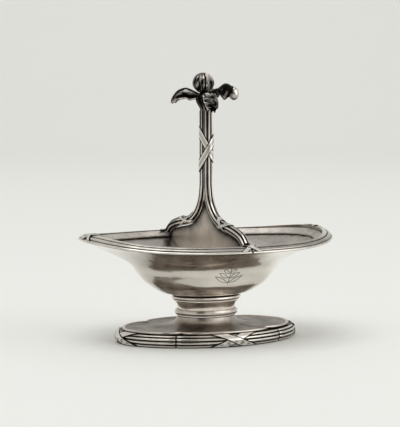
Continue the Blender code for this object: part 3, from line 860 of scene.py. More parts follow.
def spun(
    section: Sequence[Station], place: Place, turn: Turn = Turn(), closed: bool = True
) -> Piece:
    """Spins a section about the upright axis and lays it along an outline or a path.

    Args:
        section: Stations of the section in order.
        place: Gives the point for a station's out, an angle of the turn and a station's up.
        turn: Stretch that is spun. The ends of a part turn are closed with faces.
        closed: Whether the section is a loop. An open one starts and ends on the axis.

    Returns:
        The piece, with its tarnish stored.
    """
    # A loop is spun well off the axis, also where its stations lie behind its outline
    reach = 0.2 if closed else 0.0
    select()
    bpy.ops.mesh.primitive_circle_add(vertices=len(section), radius=1.0, fill_type="NOTHING")
    piece = bpy.context.object
    for vertex, station in zip(piece.data.vertices, section):
        vertex.co = (reach + station.out, 0.0, station.up)
    set_tarnish_and_shade(piece, [station.tarnish for station in section])
    if not closed:
        open_loop(piece)
    bpy.ops.object.mode_set(mode="EDIT")
    bpy.ops.mesh.select_all(action="SELECT")
    span = turn.stop - turn.start
    # The spin goes anticlockwise for a negative angle
    bpy.ops.mesh.spin(steps=turn.steps, angle=-span, center=(0, 0, 0), axis=(0, 0, 1))
    bpy.ops.mesh.select_all(action="SELECT")
    bpy.ops.mesh.remove_doubles(threshold=1e-6)
    if not turn.full():
        bpy.ops.mesh.select_all(action="SELECT")
        bpy.ops.mesh.fill_holes(sides=0)
    bpy.ops.object.mode_set(mode="OBJECT")
    for vertex in piece.data.vertices:
        radius = math.hypot(vertex.co.x, vertex.co.y)
        angle = math.atan2(vertex.co.y, vertex.co.x) % (2 * math.pi)
        if not turn.full() and angle > (span + 2 * math.pi) / 2:
            angle -= 2 * math.pi
        vertex.co = place(radius - reach, turn.start + angle, vertex.co.z)
    bpy.ops.object.mode_set(mode="EDIT")
    bpy.ops.mesh.select_all(action="SELECT")
    bpy.ops.mesh.normals_make_consistent(inside=False)
    bpy.ops.object.mode_set(mode="OBJECT")
    smooth(piece)
    return piece


def laid_grid(
    cells: tuple[int, int],
    place: Callable[[float, float], Vector],
    thickness: float,
    shade: Callable[[float, float], float],
) -> Piece:
    """Sheet laid out from a grid and given a thickness and softened edges.

    Args:
        cells: Cells along the sheet and across it.
        place: Gives the point for a share from 0 to 1 along and one from -1 to 1 across.
        thickness: Thickness of the sheet, half of it on each side.
        shade: Gives the tarnish for the same two shares.

    Returns:
        The piece.
    """
    edge_share = 0.35
    select()
    bpy.ops.mesh.primitive_grid_add(x_subdivisions=cells[0], y_subdivisions=cells[1], size=2.0)
    piece = bpy.context.object
    shares = [((vertex.co.x + 1) / 2, vertex.co.y) for vertex in piece.data.vertices]
    set_tarnish_and_shade(piece, [shade(*share) for share in shares])
    for vertex, share in zip(piece.data.vertices, shares):
        vertex.co = place(*share)
    wall = piece.modifiers.new("Thickness", "SOLIDIFY")
    wall.thickness = thickness
    wall.offset = 0.0
    edge = piece.modifiers.new("Softened edges", "BEVEL")
    edge.width = thickness * edge_share
    edge.segments = 2
    edge.limit_method = "ANGLE"
    edge.angle_limit = math.radians(60)
    for modifier in list(piece.modifiers):
        bpy.ops.object.modifier_apply(modifier=modifier.name)
    smooth(piece)
    return piece


def joined(*pieces: Piece) -> Piece:
    """Joins pieces to one mesh.

    Args:
        pieces: The pieces.

    Returns:
        The whole.
    """
    select(*pieces)
    bpy.ops.object.join()
    return bpy.context.object


@dataclass
class Assembly:
    """Part of the salt cellar, whose pieces a dresser finishes."""

    dresser: Dresser


# Crossed ribbons


@dataclass
class BorderRibbons(Assembly):
    """Ribbons crossed over a border at its two ends and the middle of both sides."""

    outline: Outline
    moulding: Moulding
    border: str
    reach: float
    width: float
    angles: tuple[float, float]
    thickness: float
    flecks: bool = False
    slack: float = 1.1
    over_lift: float = 0.9
    over_spread: float = 0.35
    hollow: float = 0.12
    dull_middle: float = 0.12
    fleck_ends: tuple = (0.08, 0.42)
    fleck_length: float = 0.21
    fleck_breadth: float = 0.80
    fleck_rise: tuple = (0.30, 0.30 + 1 / 6)
    fleck_edge: tuple = (0.6, 0.475)

    def strap(self, middle: float, direction: int, lift: float) -> Piece:
        """One strap laid slantwise over the reeds, its ends cut level.

        Args:
            middle: Bearing of the crossing.
            direction: 1 or -1 for which way it slants.
            lift: How far it rises where it passes over the other.

        Returns:
            The strap.
        """
        first, last = (math.radians(angle) for angle in self.angles)
        nudge = 0.1
        speed = (self.outline(middle + nudge) - self.outline(middle)).length / nudge
        low, high = (Vector(self.moulding.point(angle, 0.0)) for angle in (first, last))
        climb = (high - low).length * self.slack
        breadth = self.width / math.sin(math.atan2(climb / 2, self.reach))

        def place(along: float, across: float) -> Vector:
            """Point of the strap's middle sheet.

            Args:
                along: Share of the strap from its low end.
                across: Share from its midline to an edge.

            Returns:
                The point.
            """
            share = 2 * along - 1
            rise = self.thickness + lift * math.exp(-((share / self.over_spread) ** 2))
            hollow = self.hollow * self.thickness * (1 - across**2)
            out, up = self.moulding.point(blend(first, last, along), rise - hollow)
            angle = middle + (direction * share * self.reach + across * breadth / 2) / speed
            return beside(self.outline, angle, out, up)

        return laid_grid((120, 24), place, self.thickness, self.shade)

    def shade(self, along: float, across: float) -> float:
        """Darkness of a strap, with the chased flecks near its lower end.

        Args:
            along: Share of the strap from its low end.
            across: Share from its midline to an edge.

        Returns:
            The tarnish.
        """
        fleck = 0.0
        if self.flecks and self.fleck_ends[0] < along < self.fleck_ends[1]:
            wave = math.sin(2 * math.pi * along / self.fleck_length)
            wave *= math.cos(2 * math.pi * across / self.fleck_breadth)
            fleck = ramp(wave, *self.fleck_rise) * ramp(abs(across), *self.fleck_edge)
        return max(strap_shade(across, self.dull_middle), fleck)

    def build(self) -> None:
        """Crosses two straps at each side."""
        for side in Side:
            over = self.strap(side.value, -1, self.over_lift * self.thickness)
            under = self.strap(side.value, 1, 0.0)
            name = f"{self.border}_ribbon_{side.name.lower()}"
            self.dresser.dress(joined(over, under), Finish.RIBBON, Slot.RIBBON, name)


# Foot


@dataclass
class Foot(Assembly):
    """Foot plate, its reeded border in four lengths and the ribbons crossed over that."""

    boat: BoatForm
    form: FootForm = FootForm()
    moulding: Moulding = Moulding(half_breadth=0.0028, half_height=0.0033, height=0.0026)
    reed_count: int = 4
    reed_depth: float = 0.00075
    worn: float = 0.32
    reed_top: float = math.radians(68)
    rail_width: float = 0.0033
    seat_width: float = 0.0062
    seat_thickness: float = 0.0010
    seam: float = 0.00025
    pinch: float = 0.0008
    pinch_spread: float = 0.0006
    plate_thickness: float = 0.0008
    lip_height: float = 0.0010
    lip_width: float = 0.0015
    dish_drop: float = 0.0003
    skirt_top: float = 0.0105
    skirt_reach: float = 0.0125
    # Shares of the skirt's reach and of its fall
    skirt: tuple = ((0.0, 0.0), (0.05, 0.32), (0.19, 0.62), (0.52, 0.86), (1.0, 1.0))
    # Lip widths in from the edge and shares of the lip's climb, the last where its roll starts
    lip: tuple = ((2.7, 0.0), (1.1, 0.2), (0.70, 0.75), (0.45, 1.0))
    skirt_tarnish: float = 0.28
    dish_tarnish: float = 0.64
    # Shares of the lip's roll between which it darkens as it turns under
    roll_shade: tuple = (0.4, 0.4 + 1 / 3)

    def border_section(self) -> list[Station]:
        """Reeds outside, a flat underside to stand on and a seat for the plate.

        Returns:
            Stations of the border's section in order.
        """
        bottom = math.asin(-self.moulding.height / self.moulding.half_height)
        shares = (reed / self.reed_count for reed in range(self.reed_count + 1))
        angles = [blend(bottom, self.reed_top, share) for share in shares]
        section = self.moulding.reeds(angles, self.reed_depth, self.worn)
        top = section[-1].up
        section[0] = Station(section[0].out, 0.0, 1.0)
        under = top - self.seat_thickness
        seat = [(self.seat_width, top), (self.seat_width, under)]
        seat += [(self.rail_width, under), (self.rail_width, 0.0)]
        return section + [Station(-inward, up, SEAT_TARNISH) for inward, up in seat]

    def build_borders(self) -> None:
        """Spins the four lengths between the cusps."""

        def place(out: float, angle: float, up: float) -> Vector:
            """Point of the border, whose reeds are drawn in at the seams.

            Args:
                out: Distance out of the outline.
                angle: Angle round the outline.
                up: Height.

            Returns:
                The point.
            """
            away = self.form.from_cusp(angle) * self.form.half_width
            pinch = self.pinch * math.exp(-away / self.pinch_spread)
            inward = pinch * ramp(out, -self.rail_width, 0.0)
            return beside(self.form.outline, angle, out - inward, up)

        section = self.border_section()
        seam = self.seam / self.form.half_width
        half_right = self.form.cusp_angle - seam
        half_front = math.pi / 2 - self.form.cusp_angle - seam
        for side in Side:
            half = half_right if side in (Side.RIGHT, Side.LEFT) else half_front
            piece = spun(section, place, Turn(side.value - half, side.value + half, 72))
            name = "foot_border_" + side.name.lower()
            self.dresser.dress(piece, Finish.REEDS, Slot.BORDER, name)

    def build_plate(self) -> None:
        """Spins the dished plate with its rolled lip and flared skirt."""
        lip = self.form.half_length - self.form.lip_inset
        # The seat's top is the first of the border's four last stations
        seat = self.border_section()[-4].up + self.plate_thickness + GAP
        top = seat + self.lip_height - self.plate_thickness / 2
        dish = seat + self.lip_height / 2 - self.dish_drop
        drop = self.skirt_top - dish
        start = self.form.skirt_half_length
        marks = [
            (start + out * self.skirt_reach, self.skirt_top - down * drop) for out, down in self.skirt
        ]
        marks += [
            (lip - inward * self.lip_width, blend(dish, top, climb)) for inward, climb in self.lip
        ]
        line = smooth_line(marks, 6)
        section = []
        for out, up in line:
            bright = ramp(out, lip - self.lip_width, lip - self.lip_width * 2 / 3)
            flat = ramp(out, start, start + self.skirt_reach / 2)
            dull = blend(self.skirt_tarnish, self.dish_tarnish, flat)
            section.append(Station(out, up, dull * (1 - bright)))
        # The roll is round and comes down to the border
        roll = (top - seat + self.plate_thickness) / 2
        reach = (self.lip[-1][0] * self.lip_width, roll)
        steps = 10
        turned = rounded((line[-1][0], top - roll), reach, (90, -90), steps)
        for step, spot in list(enumerate(turned))[1:]:
            section.append(Station(spot.out, spot.up, ramp(step / steps, *self.roll_shade)))
        under = reversed(offset_line(line, self.plate_thickness))
        inner = [(out, up) for out, up in under if out < lip - self.lip_width]
        section += [Station(*spot, INSIDE_TARNISH) for spot in inner]
        piece = spun(section, partial(self.form.plate_point, self.boat))
        self.dresser.dress(piece, Finish.PLATE, Slot.BODY, "foot_plate")

    def build(self) -> None:
        """Builds the plate, the borders and the ribbons."""
        self.build_plate()
        self.build_borders()
        ribbons = BorderRibbons(
            self.dresser,
            self.form.outline,
            self.moulding,
            border="foot",
            reach=0.0069,
            width=0.0031,
            angles=(-36, 62),
            thickness=0.0003,
            flecks=True,
        )
        ribbons.build()


# Neck


@dataclass
class Neck(Assembly):
    """Waisted tube, the bead ring round it and the collar under the bowl."""

    boat: BoatForm
    bottom: float = 0.0108
    top: float = 0.0182
    waist: float = 0.0133
    flare: float = 0.0022
    step: float = 0.0007
    # Shares of the flare and steps down from the top, first of its sweep and then of its edge
    sweep: tuple = ((0.12, 4.0), (0.50, 1.8), (0.95, 0.9))
    edge: tuple = ((1.0, 0.7), (1.0, 0.0))
    wall: float = 0.0010
    ring_height: float = 0.0125
    ring_thickness: float = 0.0025
    ring_projection: float = 0.0011
    ring_fullness: float = 0.7
    ring_tarnish: float = 0.22
    collar_thickness: float = 0.0013
    collar_seat: float = 0.0050
    collar_tarnish: float = 0.5

    def build(self) -> None:
        """Spins the three pieces."""
        sweep, edge = (
            [(self.waist + out * self.flare, self.top - down * self.step) for out, down in marks]
            for marks in (self.sweep, self.edge)
        )
        ring_top = self.ring_height + self.ring_thickness / 2
        upright = [(self.waist, self.bottom), (self.waist, ring_top)]
        line = smooth_line(upright + sweep, 6) + edge
        spool = [Station(out, up) for out, up in line]
        spool += [Station(out - self.wall, up, INSIDE_TARNISH) for out, up in reversed(line)]

        middle = (self.waist + GAP, self.ring_height)
        reach = (self.ring_projection, self.ring_thickness / 2)
        ring = rounded(middle, reach, (-90, 90), 24, self.ring_tarnish, self.ring_fullness)

        half = self.collar_thickness / 2
        base = self.top + GAP
        seat = self.waist + self.flare - self.collar_seat
        middle = (self.boat.collar_half_length - half, base + half)
        collar = [Station(seat, base, self.collar_tarnish)]
        collar += rounded(middle, (half, half), (-90, 90), 12)
        collar.append(Station(seat, base + self.collar_thickness, self.collar_tarnish))

        for name, section, slot in (
            ("neck_spool", spool, Slot.BODY),
            ("neck_bead_ring", ring, Slot.BORDER),
            ("bowl_collar", collar, Slot.BODY),
        ):
            self.dresser.dress(spun(section, self.boat.neck_point), Finish.NECK, slot, name)


# Bowl


@dataclass
class Bowl(Assembly):
    """Raised bowl, the flat flange inside its rim, and the rim's reeded border and ribbons."""

    form: BoatForm = BoatForm()
    moulding: Moulding = Moulding(half_breadth=0.0052, half_height=0.00325, height=-0.0016)
    reed_angles: tuple = (4, 27, 57, 88)
    reed_depth: float = 0.0006
    worn: float = 0.70
    moulding_width: float = 0.0050
    bead_width: float = 0.0016
    bead_tarnish: float = 0.4
    edge_tarnish: float = 0.2
    rim_gap: float = 1.3 * GAP
    flange_width: float = 0.0031
    flange_drop: float = 0.0007
    flange_thickness: float = 0.0009
    flange_wear: float = 0.0005
    flange_beat: float = 9.0
    flange_tarnish: float = 0.1
    floor_tarnish: float = 0.3
    well_tarnish: float = 0.52
    low_tarnish: float = 0.08
    low_reach: float = 0.0180
    flank_place: float = 0.0400
    flank_spread: float = 0.0120
    flank_darkness: float = 0.25
    # Shares of the half width toward the near side between which the rim grows duller
    near_ends: tuple = (0.30, 0.70)
    near_darkness: float = 0.42

    def rim_underside(self, inset: float) -> float:
        """Height above the rim's outline of what lies on the bowl's wall."""
        wall = value_at(self.form.inner_line(4), self.form.half_length - inset)
        return wall + self.rim_gap - self.form.rim_height

    def build_shell(self) -> None:
        """Spins the bowl, open to the poles on the axis, duller round its left flank."""

        def extra(point: Vector) -> float:
            """Darkness added in a cloud round the left flank."""
            away = (point.x + self.flank_place) / self.flank_spread
            return self.flank_darkness * math.exp(-(away**2))

        section = [Station(0.0, self.form.floor, self.floor_tarnish)]
        for out, up in self.form.outer_line(8):
            low = ramp(out, 2 * self.low_reach, self.low_reach)
            section.append(Station(out, up, self.low_tarnish * low))
        for out, up in reversed(self.form.inner_line(8)):
            section.append(Station(out, up, self.well_tarnish))
        section.append(Station(0.0, self.form.floor + self.form.wall, self.well_tarnish))
        piece = spun(section, self.form.point, closed=False)
        add_tarnish_and_shade(piece, extra)
        self.dresser.dress(piece, Finish.BOWL, Slot.BODY, "bowl_shell")

    def build_flange(self) -> None:
        """Spins the flange, whose inner edge is a little uneven with wear."""
        outer = -self.moulding_width - GAP
        half = self.flange_thickness / 2
        bend = (outer - self.flange_width + half, -self.flange_drop - half)
        top = self.moulding.point(math.radians(self.reed_angles[-1]), -self.reed_depth)[1]
        under = self.rim_underside(self.moulding_width + GAP)
        section = [Station(outer, under, SEAT_TARNISH), Station(outer, top, 0.0)]
        steps = 8
        for step in range(1, steps):
            out = blend(outer, bend[0], step / steps)
            up = blend(top, -self.flange_drop, step / steps)
            section.append(Station(out, up, self.flange_tarnish))
        section += rounded(bend, (half, half), (90, 270), steps, self.edge_tarnish)

        def place(out: float, angle: float, up: float) -> Vector:
            """Point of the flange, with the wear of its inner edge.

            Args:
                out: Distance out of the rim's outline.
                angle: Angle round it.
                up: Height over the rim's outline.

            Returns:
                The point.
            """
            share = clamp((outer - out) / self.flange_width)
            wear = noise.noise(toward(angle) * self.flange_beat)
            shift = self.flange_wear * wear * share**4 * abs(math.cos(angle)) ** 2
            spot = self.form.rim_point(out + shift, angle, 0.0)
            spot.z = self.form.rim_height + self.form.rise(spot.x) + up
            return spot

        self.dresser.dress(spun(section, place), Finish.WELL, Slot.BODY, "rim_flange")

    def build_border(self) -> None:
        """Spins the two halves of the rim's border, duller over the near side."""
        angles = [math.radians(angle) for angle in self.reed_angles]
        lowest = self.moulding.point(angles[1], 0.0)[1]
        section = self.moulding.reeds(angles, self.reed_depth, self.worn)
        bead, last = section[0], section[-1]
        section[0] = Station(bead.out, bead.up, self.bead_tarnish)
        section[-1] = Station(last.out, last.up + self.reed_depth / 2, self.bead_tarnish)
        edge_height = last.up + self.reed_depth / 4
        section.append(Station(-self.moulding_width, edge_height, self.edge_tarnish))
        for inward, up in (
            (self.moulding_width, self.rim_underside(self.moulding_width)),
            (self.bead_width, self.rim_underside(self.form.edge_inset)),
            (self.bead_width, bead.up),
        ):
            section.append(Station(-inward, up, SEAT_TARNISH))

        def extra(point: Vector) -> float:
            """Darkness added over the lowest reed on the near side.

            Args:
                point: Point of the border.

            Returns:
                What is added there.
            """
            height = point.z - self.form.rim_height - self.form.rise(point.x)
            near = ramp(-point.y / self.form.half_width, *self.near_ends)
            return self.near_darkness * near * ramp(height, lowest, lowest + GAP)

        half = math.pi / 2 - GAP / self.form.half_length
        for side in (Side.RIGHT, Side.LEFT):
            turn = Turn(side.value - half, side.value + half, 144)
            piece = spun(section, self.form.rim_point, turn)
            add_tarnish_and_shade(piece, extra)
            name = "rim_border_" + side.name.lower()
            self.dresser.dress(piece, Finish.REEDS, Slot.BORDER, name)

    def build(self) -> None:
        """Builds all of the bowl's pieces."""
        self.build_shell()
        self.build_flange()
        self.build_border()
        ribbons = BorderRibbons(
            self.dresser,
            self.form.rim_outline,
            self.moulding,
            border="rim",
            reach=0.0036,
            width=0.0022,
            angles=(20, 102),
            thickness=0.0002,
        )
        ribbons.build()
        Sprig(self.dresser, self.form).build()


@dataclass
class Sprig(Assembly):
    """Small upright sprig of leaves, engraved on the near side as fine dark lines."""

    form: BoatForm
    foot_height: float = 0.0268
    top_height: float = 0.0352
    stem_bow: float = 0.0004
    pairs: int = 3
    first_root: float = 0.12
    root_step: float = 0.26
    root_offset: float = 0.0002
    longest: float = 0.0066
    shortest: float = 0.0032
    # Shares of a leaf's length: its tip's climb, and its belly's reach and climb
    tip_climb: float = 0.45
    belly: tuple = (0.55, 0.16)
    bows: tuple = (0.0011, -0.0006)
    line_radius: float = 0.00011

    def strokes(self) -> list[Line]:
        """Lines of the sprig as (place along X, height) points.

        Returns:
            The stem, and the two sides of each leaf.
        """
        low, high = self.foot_height, self.top_height
        strokes = [[(0.0, low), (self.stem_bow, (low + high) / 2), (0.0, high)]]
        for pair in range(self.pairs):
            root = blend(low, high, self.first_root + self.root_step * pair)
            length = blend(self.longest, self.shortest, pair / (self.pairs - 1))
            for side in (-1, 1):
                start = (self.root_offset * side, root)
                tip = (side * length, root + self.tip_climb * length)
                for bow in self.bows:
                    belly = (side * self.belly[0] * length, root + self.belly[1] * length + bow)
                    strokes.append([start, belly, tip])
        return strokes

    def build(self) -> None:
        """Lays the lines on the bowl's side."""
        curve = bpy.data.curves.new("engraved_sprig", "CURVE")
        curve.dimensions = "3D"
        curve.bevel_depth = self.line_radius
        curve.bevel_resolution = 1
        curve.use_fill_caps = True
        for stroke in self.strokes():
            line = smooth_line(stroke, 6)
            spline = curve.splines.new("POLY")
            spline.points.add(len(line) - 1)
            for point, (across, height) in zip(spline.points, line):
                point.co = (*self.form.side_point(across, height), 1.0)
        sprig = bpy.data.objects.new("engraved_sprig", curve)
        bpy.context.scene.collection.objects.link(sprig)
        select(sprig)
        bpy.ops.object.convert(target="MESH")
        sprig = bpy.context.object
        set_tarnish_and_shade(sprig, [1.0] * len(sprig.data.vertices))
        self.dresser.dress(sprig, Finish.ENGRAVING, Slot.BODY)


# Handle


@dataclass
class Handle(Assembly):
    """Two reeded branches that frame the divider, with the ribbons that tie them."""

    boat: BoatForm
    radius: float = 0.0021
    groove: float = 0.0010
    reed_count: int = 7
    worn: float = 0.28
    facing: float = math.radians(104.6)
    landing_inset: float = 0.0066
    landing_lift: float = 0.0013
    join_lift: float = 0.0257
    top_height: float = 0.1030
    profile: tuple = (
        (1.0, 0.0),
        (0.905, 0.115),
        (0.780, 0.180),
        (0.622, 0.230),
        (0.465, 0.266),
        (0.321, 0.320),
        (0.190, 0.426),
        (0.088, 0.582),
        (0.030, 0.754),
        (0.0, 1.0),
    )
    strap_thickness: float = 0.0002
    strap_gap: float = 0.00004
    strap_width: float = 0.0060
    over_lift: float = 0.7
    strap_dull: float = 0.45
    crossing_drop: float = 0.0190
    stagger: float = 0.0038
    over_tilt: float = 0.0058
    under_tilt: float = 0.0054
    peak_bearing: float = math.radians(-25.2)
    leg_strap_place: float = 0.465
    leg_strap_width: float = 0.0038
    leg_strap_tilts: tuple = (0.0052, 0.0076)
    leg_strap_opening: float = math.radians(55)
    leg_strap_dull: float = 0.30
    divider_thickness: float = 0.0010
    divider_drop: float = 0.0070
    divider_sink: float = 0.0003
    # Painted shade on the divider: how far it reaches, and how dark it is at the bowl and at the
    # branches
    painted_shade_reach: float = 0.0025
    floor_painted_shade: float = 0.4
    leg_painted_shade: float = 1.2
    dull_top: float = 0.0080
    dull_landing: float = 0.0260
    dull_fade: float = 0.0040
    dull_darkness: float = 0.45

    def leg_line(self) -> Line:
        """Line that a branch follows.

        Returns:
            (distance from the middle plane, height) points from its landing to its top.
        """
        apart = self.radius + GAP / 2
        landing = self.boat.half_width - self.landing_inset
        low = self.boat.rim_height + self.landing_lift
        high = self.boat.rim_height + self.join_lift
        marks = [(blend(apart, landing, out), blend(low, high, up)) for out, up in self.profile]
        upright = [(apart, blend(high, self.top_height, step / 6)) for step in range(1, 7)]
        return smooth_line(marks, 6) + upright

    def section(self, facing: float) -> list[Station]:
        """Bundle of equal reeds.

        Args:
            facing: Angle that one of the reeds faces.

        Returns:
            Stations round the branch.
        """
        stations = []
        steps = 10
        breadth = 2 * math.pi / self.reed_count
        for reed in range(self.reed_count):
            for step in range(steps):
                share = 2 * step / steps - 1
                radius = self.radius - self.groove * (1 - math.sqrt(1 - share**2))
                turn = facing + breadth * (reed + share / 2)
                spot = radius * math.cos(turn), radius * math.sin(turn)
                stations.append(Station(*spot, groove_shade(share, self.worn)))
        return stations

    def build_branch(self, side: int, name: str) -> None:
        """Lays the bundle along one leg line.

        Args:
            side: -1 for the near branch, 1 for the far one.
            name: Name of its node.
        """
        line = self.leg_line()
        last = len(line) - 1

        def place(out: float, angle: float, up: float) -> Vector:
            """Point of the branch: the turn's share gives the place on the line.

            Args:
                out: Distance from the branch's middle along X.
                angle: Share of the branch from its landing.
                up: Distance from its middle square to X.

            Returns:
                The point.
            """
            spot = round(angle * last)
            centre = Vector((0.0, side * line[spot][0], line[spot][1]))
            before, after = line[max(spot - 1, 0)], line[min(spot + 1, last)]
            run = Vector((0.0, side * (after[0] - before[0]), after[1] - before[1])).normalized()
            return centre + ACROSS * out + run.cross(ACROSS) * up

        piece = spun(self.section(side * self.facing), place, Turn(0.0, 1.0, last))
        add_tarnish_and_shade(piece, self.end_darkness)
        self.dresser.dress(piece, Finish.REEDS, Slot.BORDER, name)

    def end_darkness(self, point: Vector) -> float:
        """Darkness added under the flower and at the far landing.

        Args:
            point: Point of a branch.

        Returns:
            What is added there.
        """
        left = ramp(point.x, MILLIMETRE / 2, -MILLIMETRE / 2)
        start = self.top_height - self.dull_top
        top = left * ramp(point.z, start, start + self.dull_fade)
        far = ramp(point.y, self.dull_landing, self.dull_landing + self.dull_fade)
        return self.dull_darkness * max(top, far)

    def handle_strap(self, height: float, tilt: float, lift: float) -> Piece:
        """Strap round both branches, slanting as a whole toward one bearing.

        Args:
            height: Its middle height.
            tilt: How far it rises from its middle to that side, below zero where it falls.
            lift: How far it lies off the branches.

        Returns:
            The strap.
        """
        apart = self.radius + GAP / 2
        hold = self.radius + self.strap_gap + lift
        half_turn = math.pi * hold
        half_path = half_turn + 2 * apart
        peak = toward(self.peak_bearing)
        farthest = hold + apart * abs(peak.y)

        def place(along: float, across: float) -> Vector:
            """Point of the strap, whose path is two half rounds and the flats between.

            Args:
                along: Share of the strap round the handle.
                across: Share from its midline to an edge.

            Returns:
                The point.
            """
            path = 2 * half_path * along
            side = -1 if path < half_path else 1
            run = path % half_path
            normal = toward(math.pi * clamp(run / half_turn), side)
            slide = max(run - half_turn, 0.0)
            centre = normal * hold + Vector((0.0, side * (apart - slide), 0.0))
            rise = tilt * centre.dot(peak) / farthest
            return centre + UP * (height + rise + across * self.strap_width / 2)

        def shade(along: float, across: float) -> float:
            """Darkness of the strap, dull where fingers don't reach."""
            return strap_shade(across, self.strap_dull)

        strap = laid_grid((160, 24), place, self.strap_thickness, shade)
        merge(strap)
        return strap

    def leg_strap(self, side: int, tilt: float, lift: float) -> Piece:
        """Strap over one branch where it runs nearly level, open below for the divider.

        Args:
            side: -1 for the near branch, 1 for the far one.
            tilt: How far its top lies toward the landing.
            lift: How far it lies off the branch.

        Returns:
            The strap.
        """
        line = self.leg_line()
        target = self.leg_strap_place * line[0][0]
        near = min(range(len(line)), key=lambda index: abs(line[index][0] - target))
        middle = sum(math.dist(start, end) for start, end in zip(line[:near], line[1:]))
        opening = self.leg_strap_opening
        hold = self.radius + self.strap_gap + lift

        def place(along: float, across: float) -> Vector:
            """Point of the strap.

            Args:
                along: Share of the strap from one end.
                across: Share from its midline to an edge.

            Returns:
                The point.
            """
            angle = blend(-opening, math.pi + opening, along)
            distance = middle - tilt * math.sin(angle) - across * self.leg_strap_width / 2
            steps = (MILLIMETRE, 0.0, -MILLIMETRE)
            start, spot, end = (at_distance(line, distance + step) for step in steps)
            run = Vector((0.0, side * (end[0] - start[0]), end[1] - start[1])).normalized()
            upright = run.cross(ACROSS) * -side
            normal = ACROSS * math.cos(angle) + upright * math.sin(angle)
            return Vector((0.0, side * spot[0], spot[1])) + normal * hold

        def shade(along: float, across: float) -> float:
            """Darkness of the strap."""
            return strap_shade(across, self.leg_strap_dull)

        return laid_grid((64, 24), place, self.strap_thickness, shade)

    def build_ribbons(self) -> None:
        """Crosses the straps round the handle and round each leg."""
        lift = self.over_lift * self.strap_thickness
        low = self.top_height - self.crossing_drop
        over = self.handle_strap(low, self.over_tilt, lift)
        under = self.handle_strap(low + self.stagger, -self.under_tilt, 0.0)
        self.dresser.dress(joined(over, under), Finish.RIBBON, Slot.RIBBON, "handle_ribbon")
        for side, name, tilt in zip((-1, 1), ("front", "back"), self.leg_strap_tilts):
            piece = joined(self.leg_strap(side, tilt, lift), self.leg_strap(side, -tilt, 0.0))
            self.dresser.dress(piece, Finish.RIBBON, Slot.RIBBON, "leg_ribbon_" + name)

    def divider_top(self) -> Line:
        """Line along the plate's upper edge, close under both branches.

        Returns:
            (place along Y, height) points from the front landing over the apex to the back.
        """
        apex = self.boat.rim_height + self.join_lift - self.divider_drop
        under = offset_line(self.leg_line(), -self.radius - GAP)
        half = [spot for spot in under if spot[0] > self.divider_thickness and spot[1] < apex]
        return [(-out, up) for out, up in half] + half[::-1]

    def divider_floor(self, away: float) -> float:
        """Height of the plate's lower edge, just inside the wall that it is soldered to.

        Args:
            away: Distance from the middle along Y.

        Returns:
            The height.
        """
        sink = self.divider_sink
        inner = self.boat.inner_line(4)
        return value_at([(self.boat.width_at(out) + sink, up - sink) for out, up in inner], away)

    def build_divider(self) -> None:
        """Lays the plate between the branches and the bowl, with painted shade where it meets them.
        """
        top = self.divider_top()

        def place(along: float, across: float) -> Vector:
            """Point of the plate's middle sheet.

            Args:
                along: Share of the plate from front to back.
                across: Share from -1 at its lower edge to 1 at its upper one.

            Returns:
                The point.
            """
            level, high = at_share(top, along)
            low = min(self.divider_floor(abs(level)), high - MILLIMETRE / 4)
            return Vector((0.0, level, blend(low, high, (across + 1) / 2)))

        def shade(along: float, across: float) -> float:
            """Painted shade of the plate by its distance from both branches and the bowl.

            Args:
                along: Share of the plate from front to back.
                across: Share from -1 at its lower edge to 1 at its upper one.

            Returns:
                The painted shade.
            """
            spot = place(along, across)
            floor = spot.z - self.divider_floor(abs(spot.y))
            total = self.floor_painted_shade * math.exp(-floor / self.painted_shade_reach)
            for side in (-1, 1):
                legs = [point for point in top if point[0] * side > 0]
                away = min(math.hypot(spot.y - out, spot.z - up) for out, up in legs)
                total += self.leg_painted_shade * math.exp(-away / self.painted_shade_reach)
            return clamp(total)

        piece = laid_grid((96, 40), place, self.divider_thickness, shade)
        self.dresser.dress(piece, Finish.DIVIDER, Slot.BODY, "divider_plate")

    def build(self) -> None:
        """Builds the branches, the ribbons and the divider."""
        self.build_branch(-1, "handle_branch_front")
        self.build_branch(1, "handle_branch_back")
        self.build_ribbons()
        self.build_divider()


# Flower


@dataclass(frozen=True)
class Fall:
    """Drooping petal: its place in the turn, the (out, up) steps of its midline from its
    root, its widths along that, how far its long edges hang, how far its tip swings, how far its
    folds run across it, the share of its length that is a plain neck, how bright its edges are
    worn, how much darker it is than the others, and the (out, up) centre of the round knob that
    its tip is curled to, if it is."""

    name: str
    place: int
    midline: tuple
    widths: tuple
    crown: float
    swing: float = 0.0
    ripple: float = 1.0
    neck: float = 0.0
    edge_wear: float = 0.85
    stain: float = 0.0
    knob_centre: tuple = ()


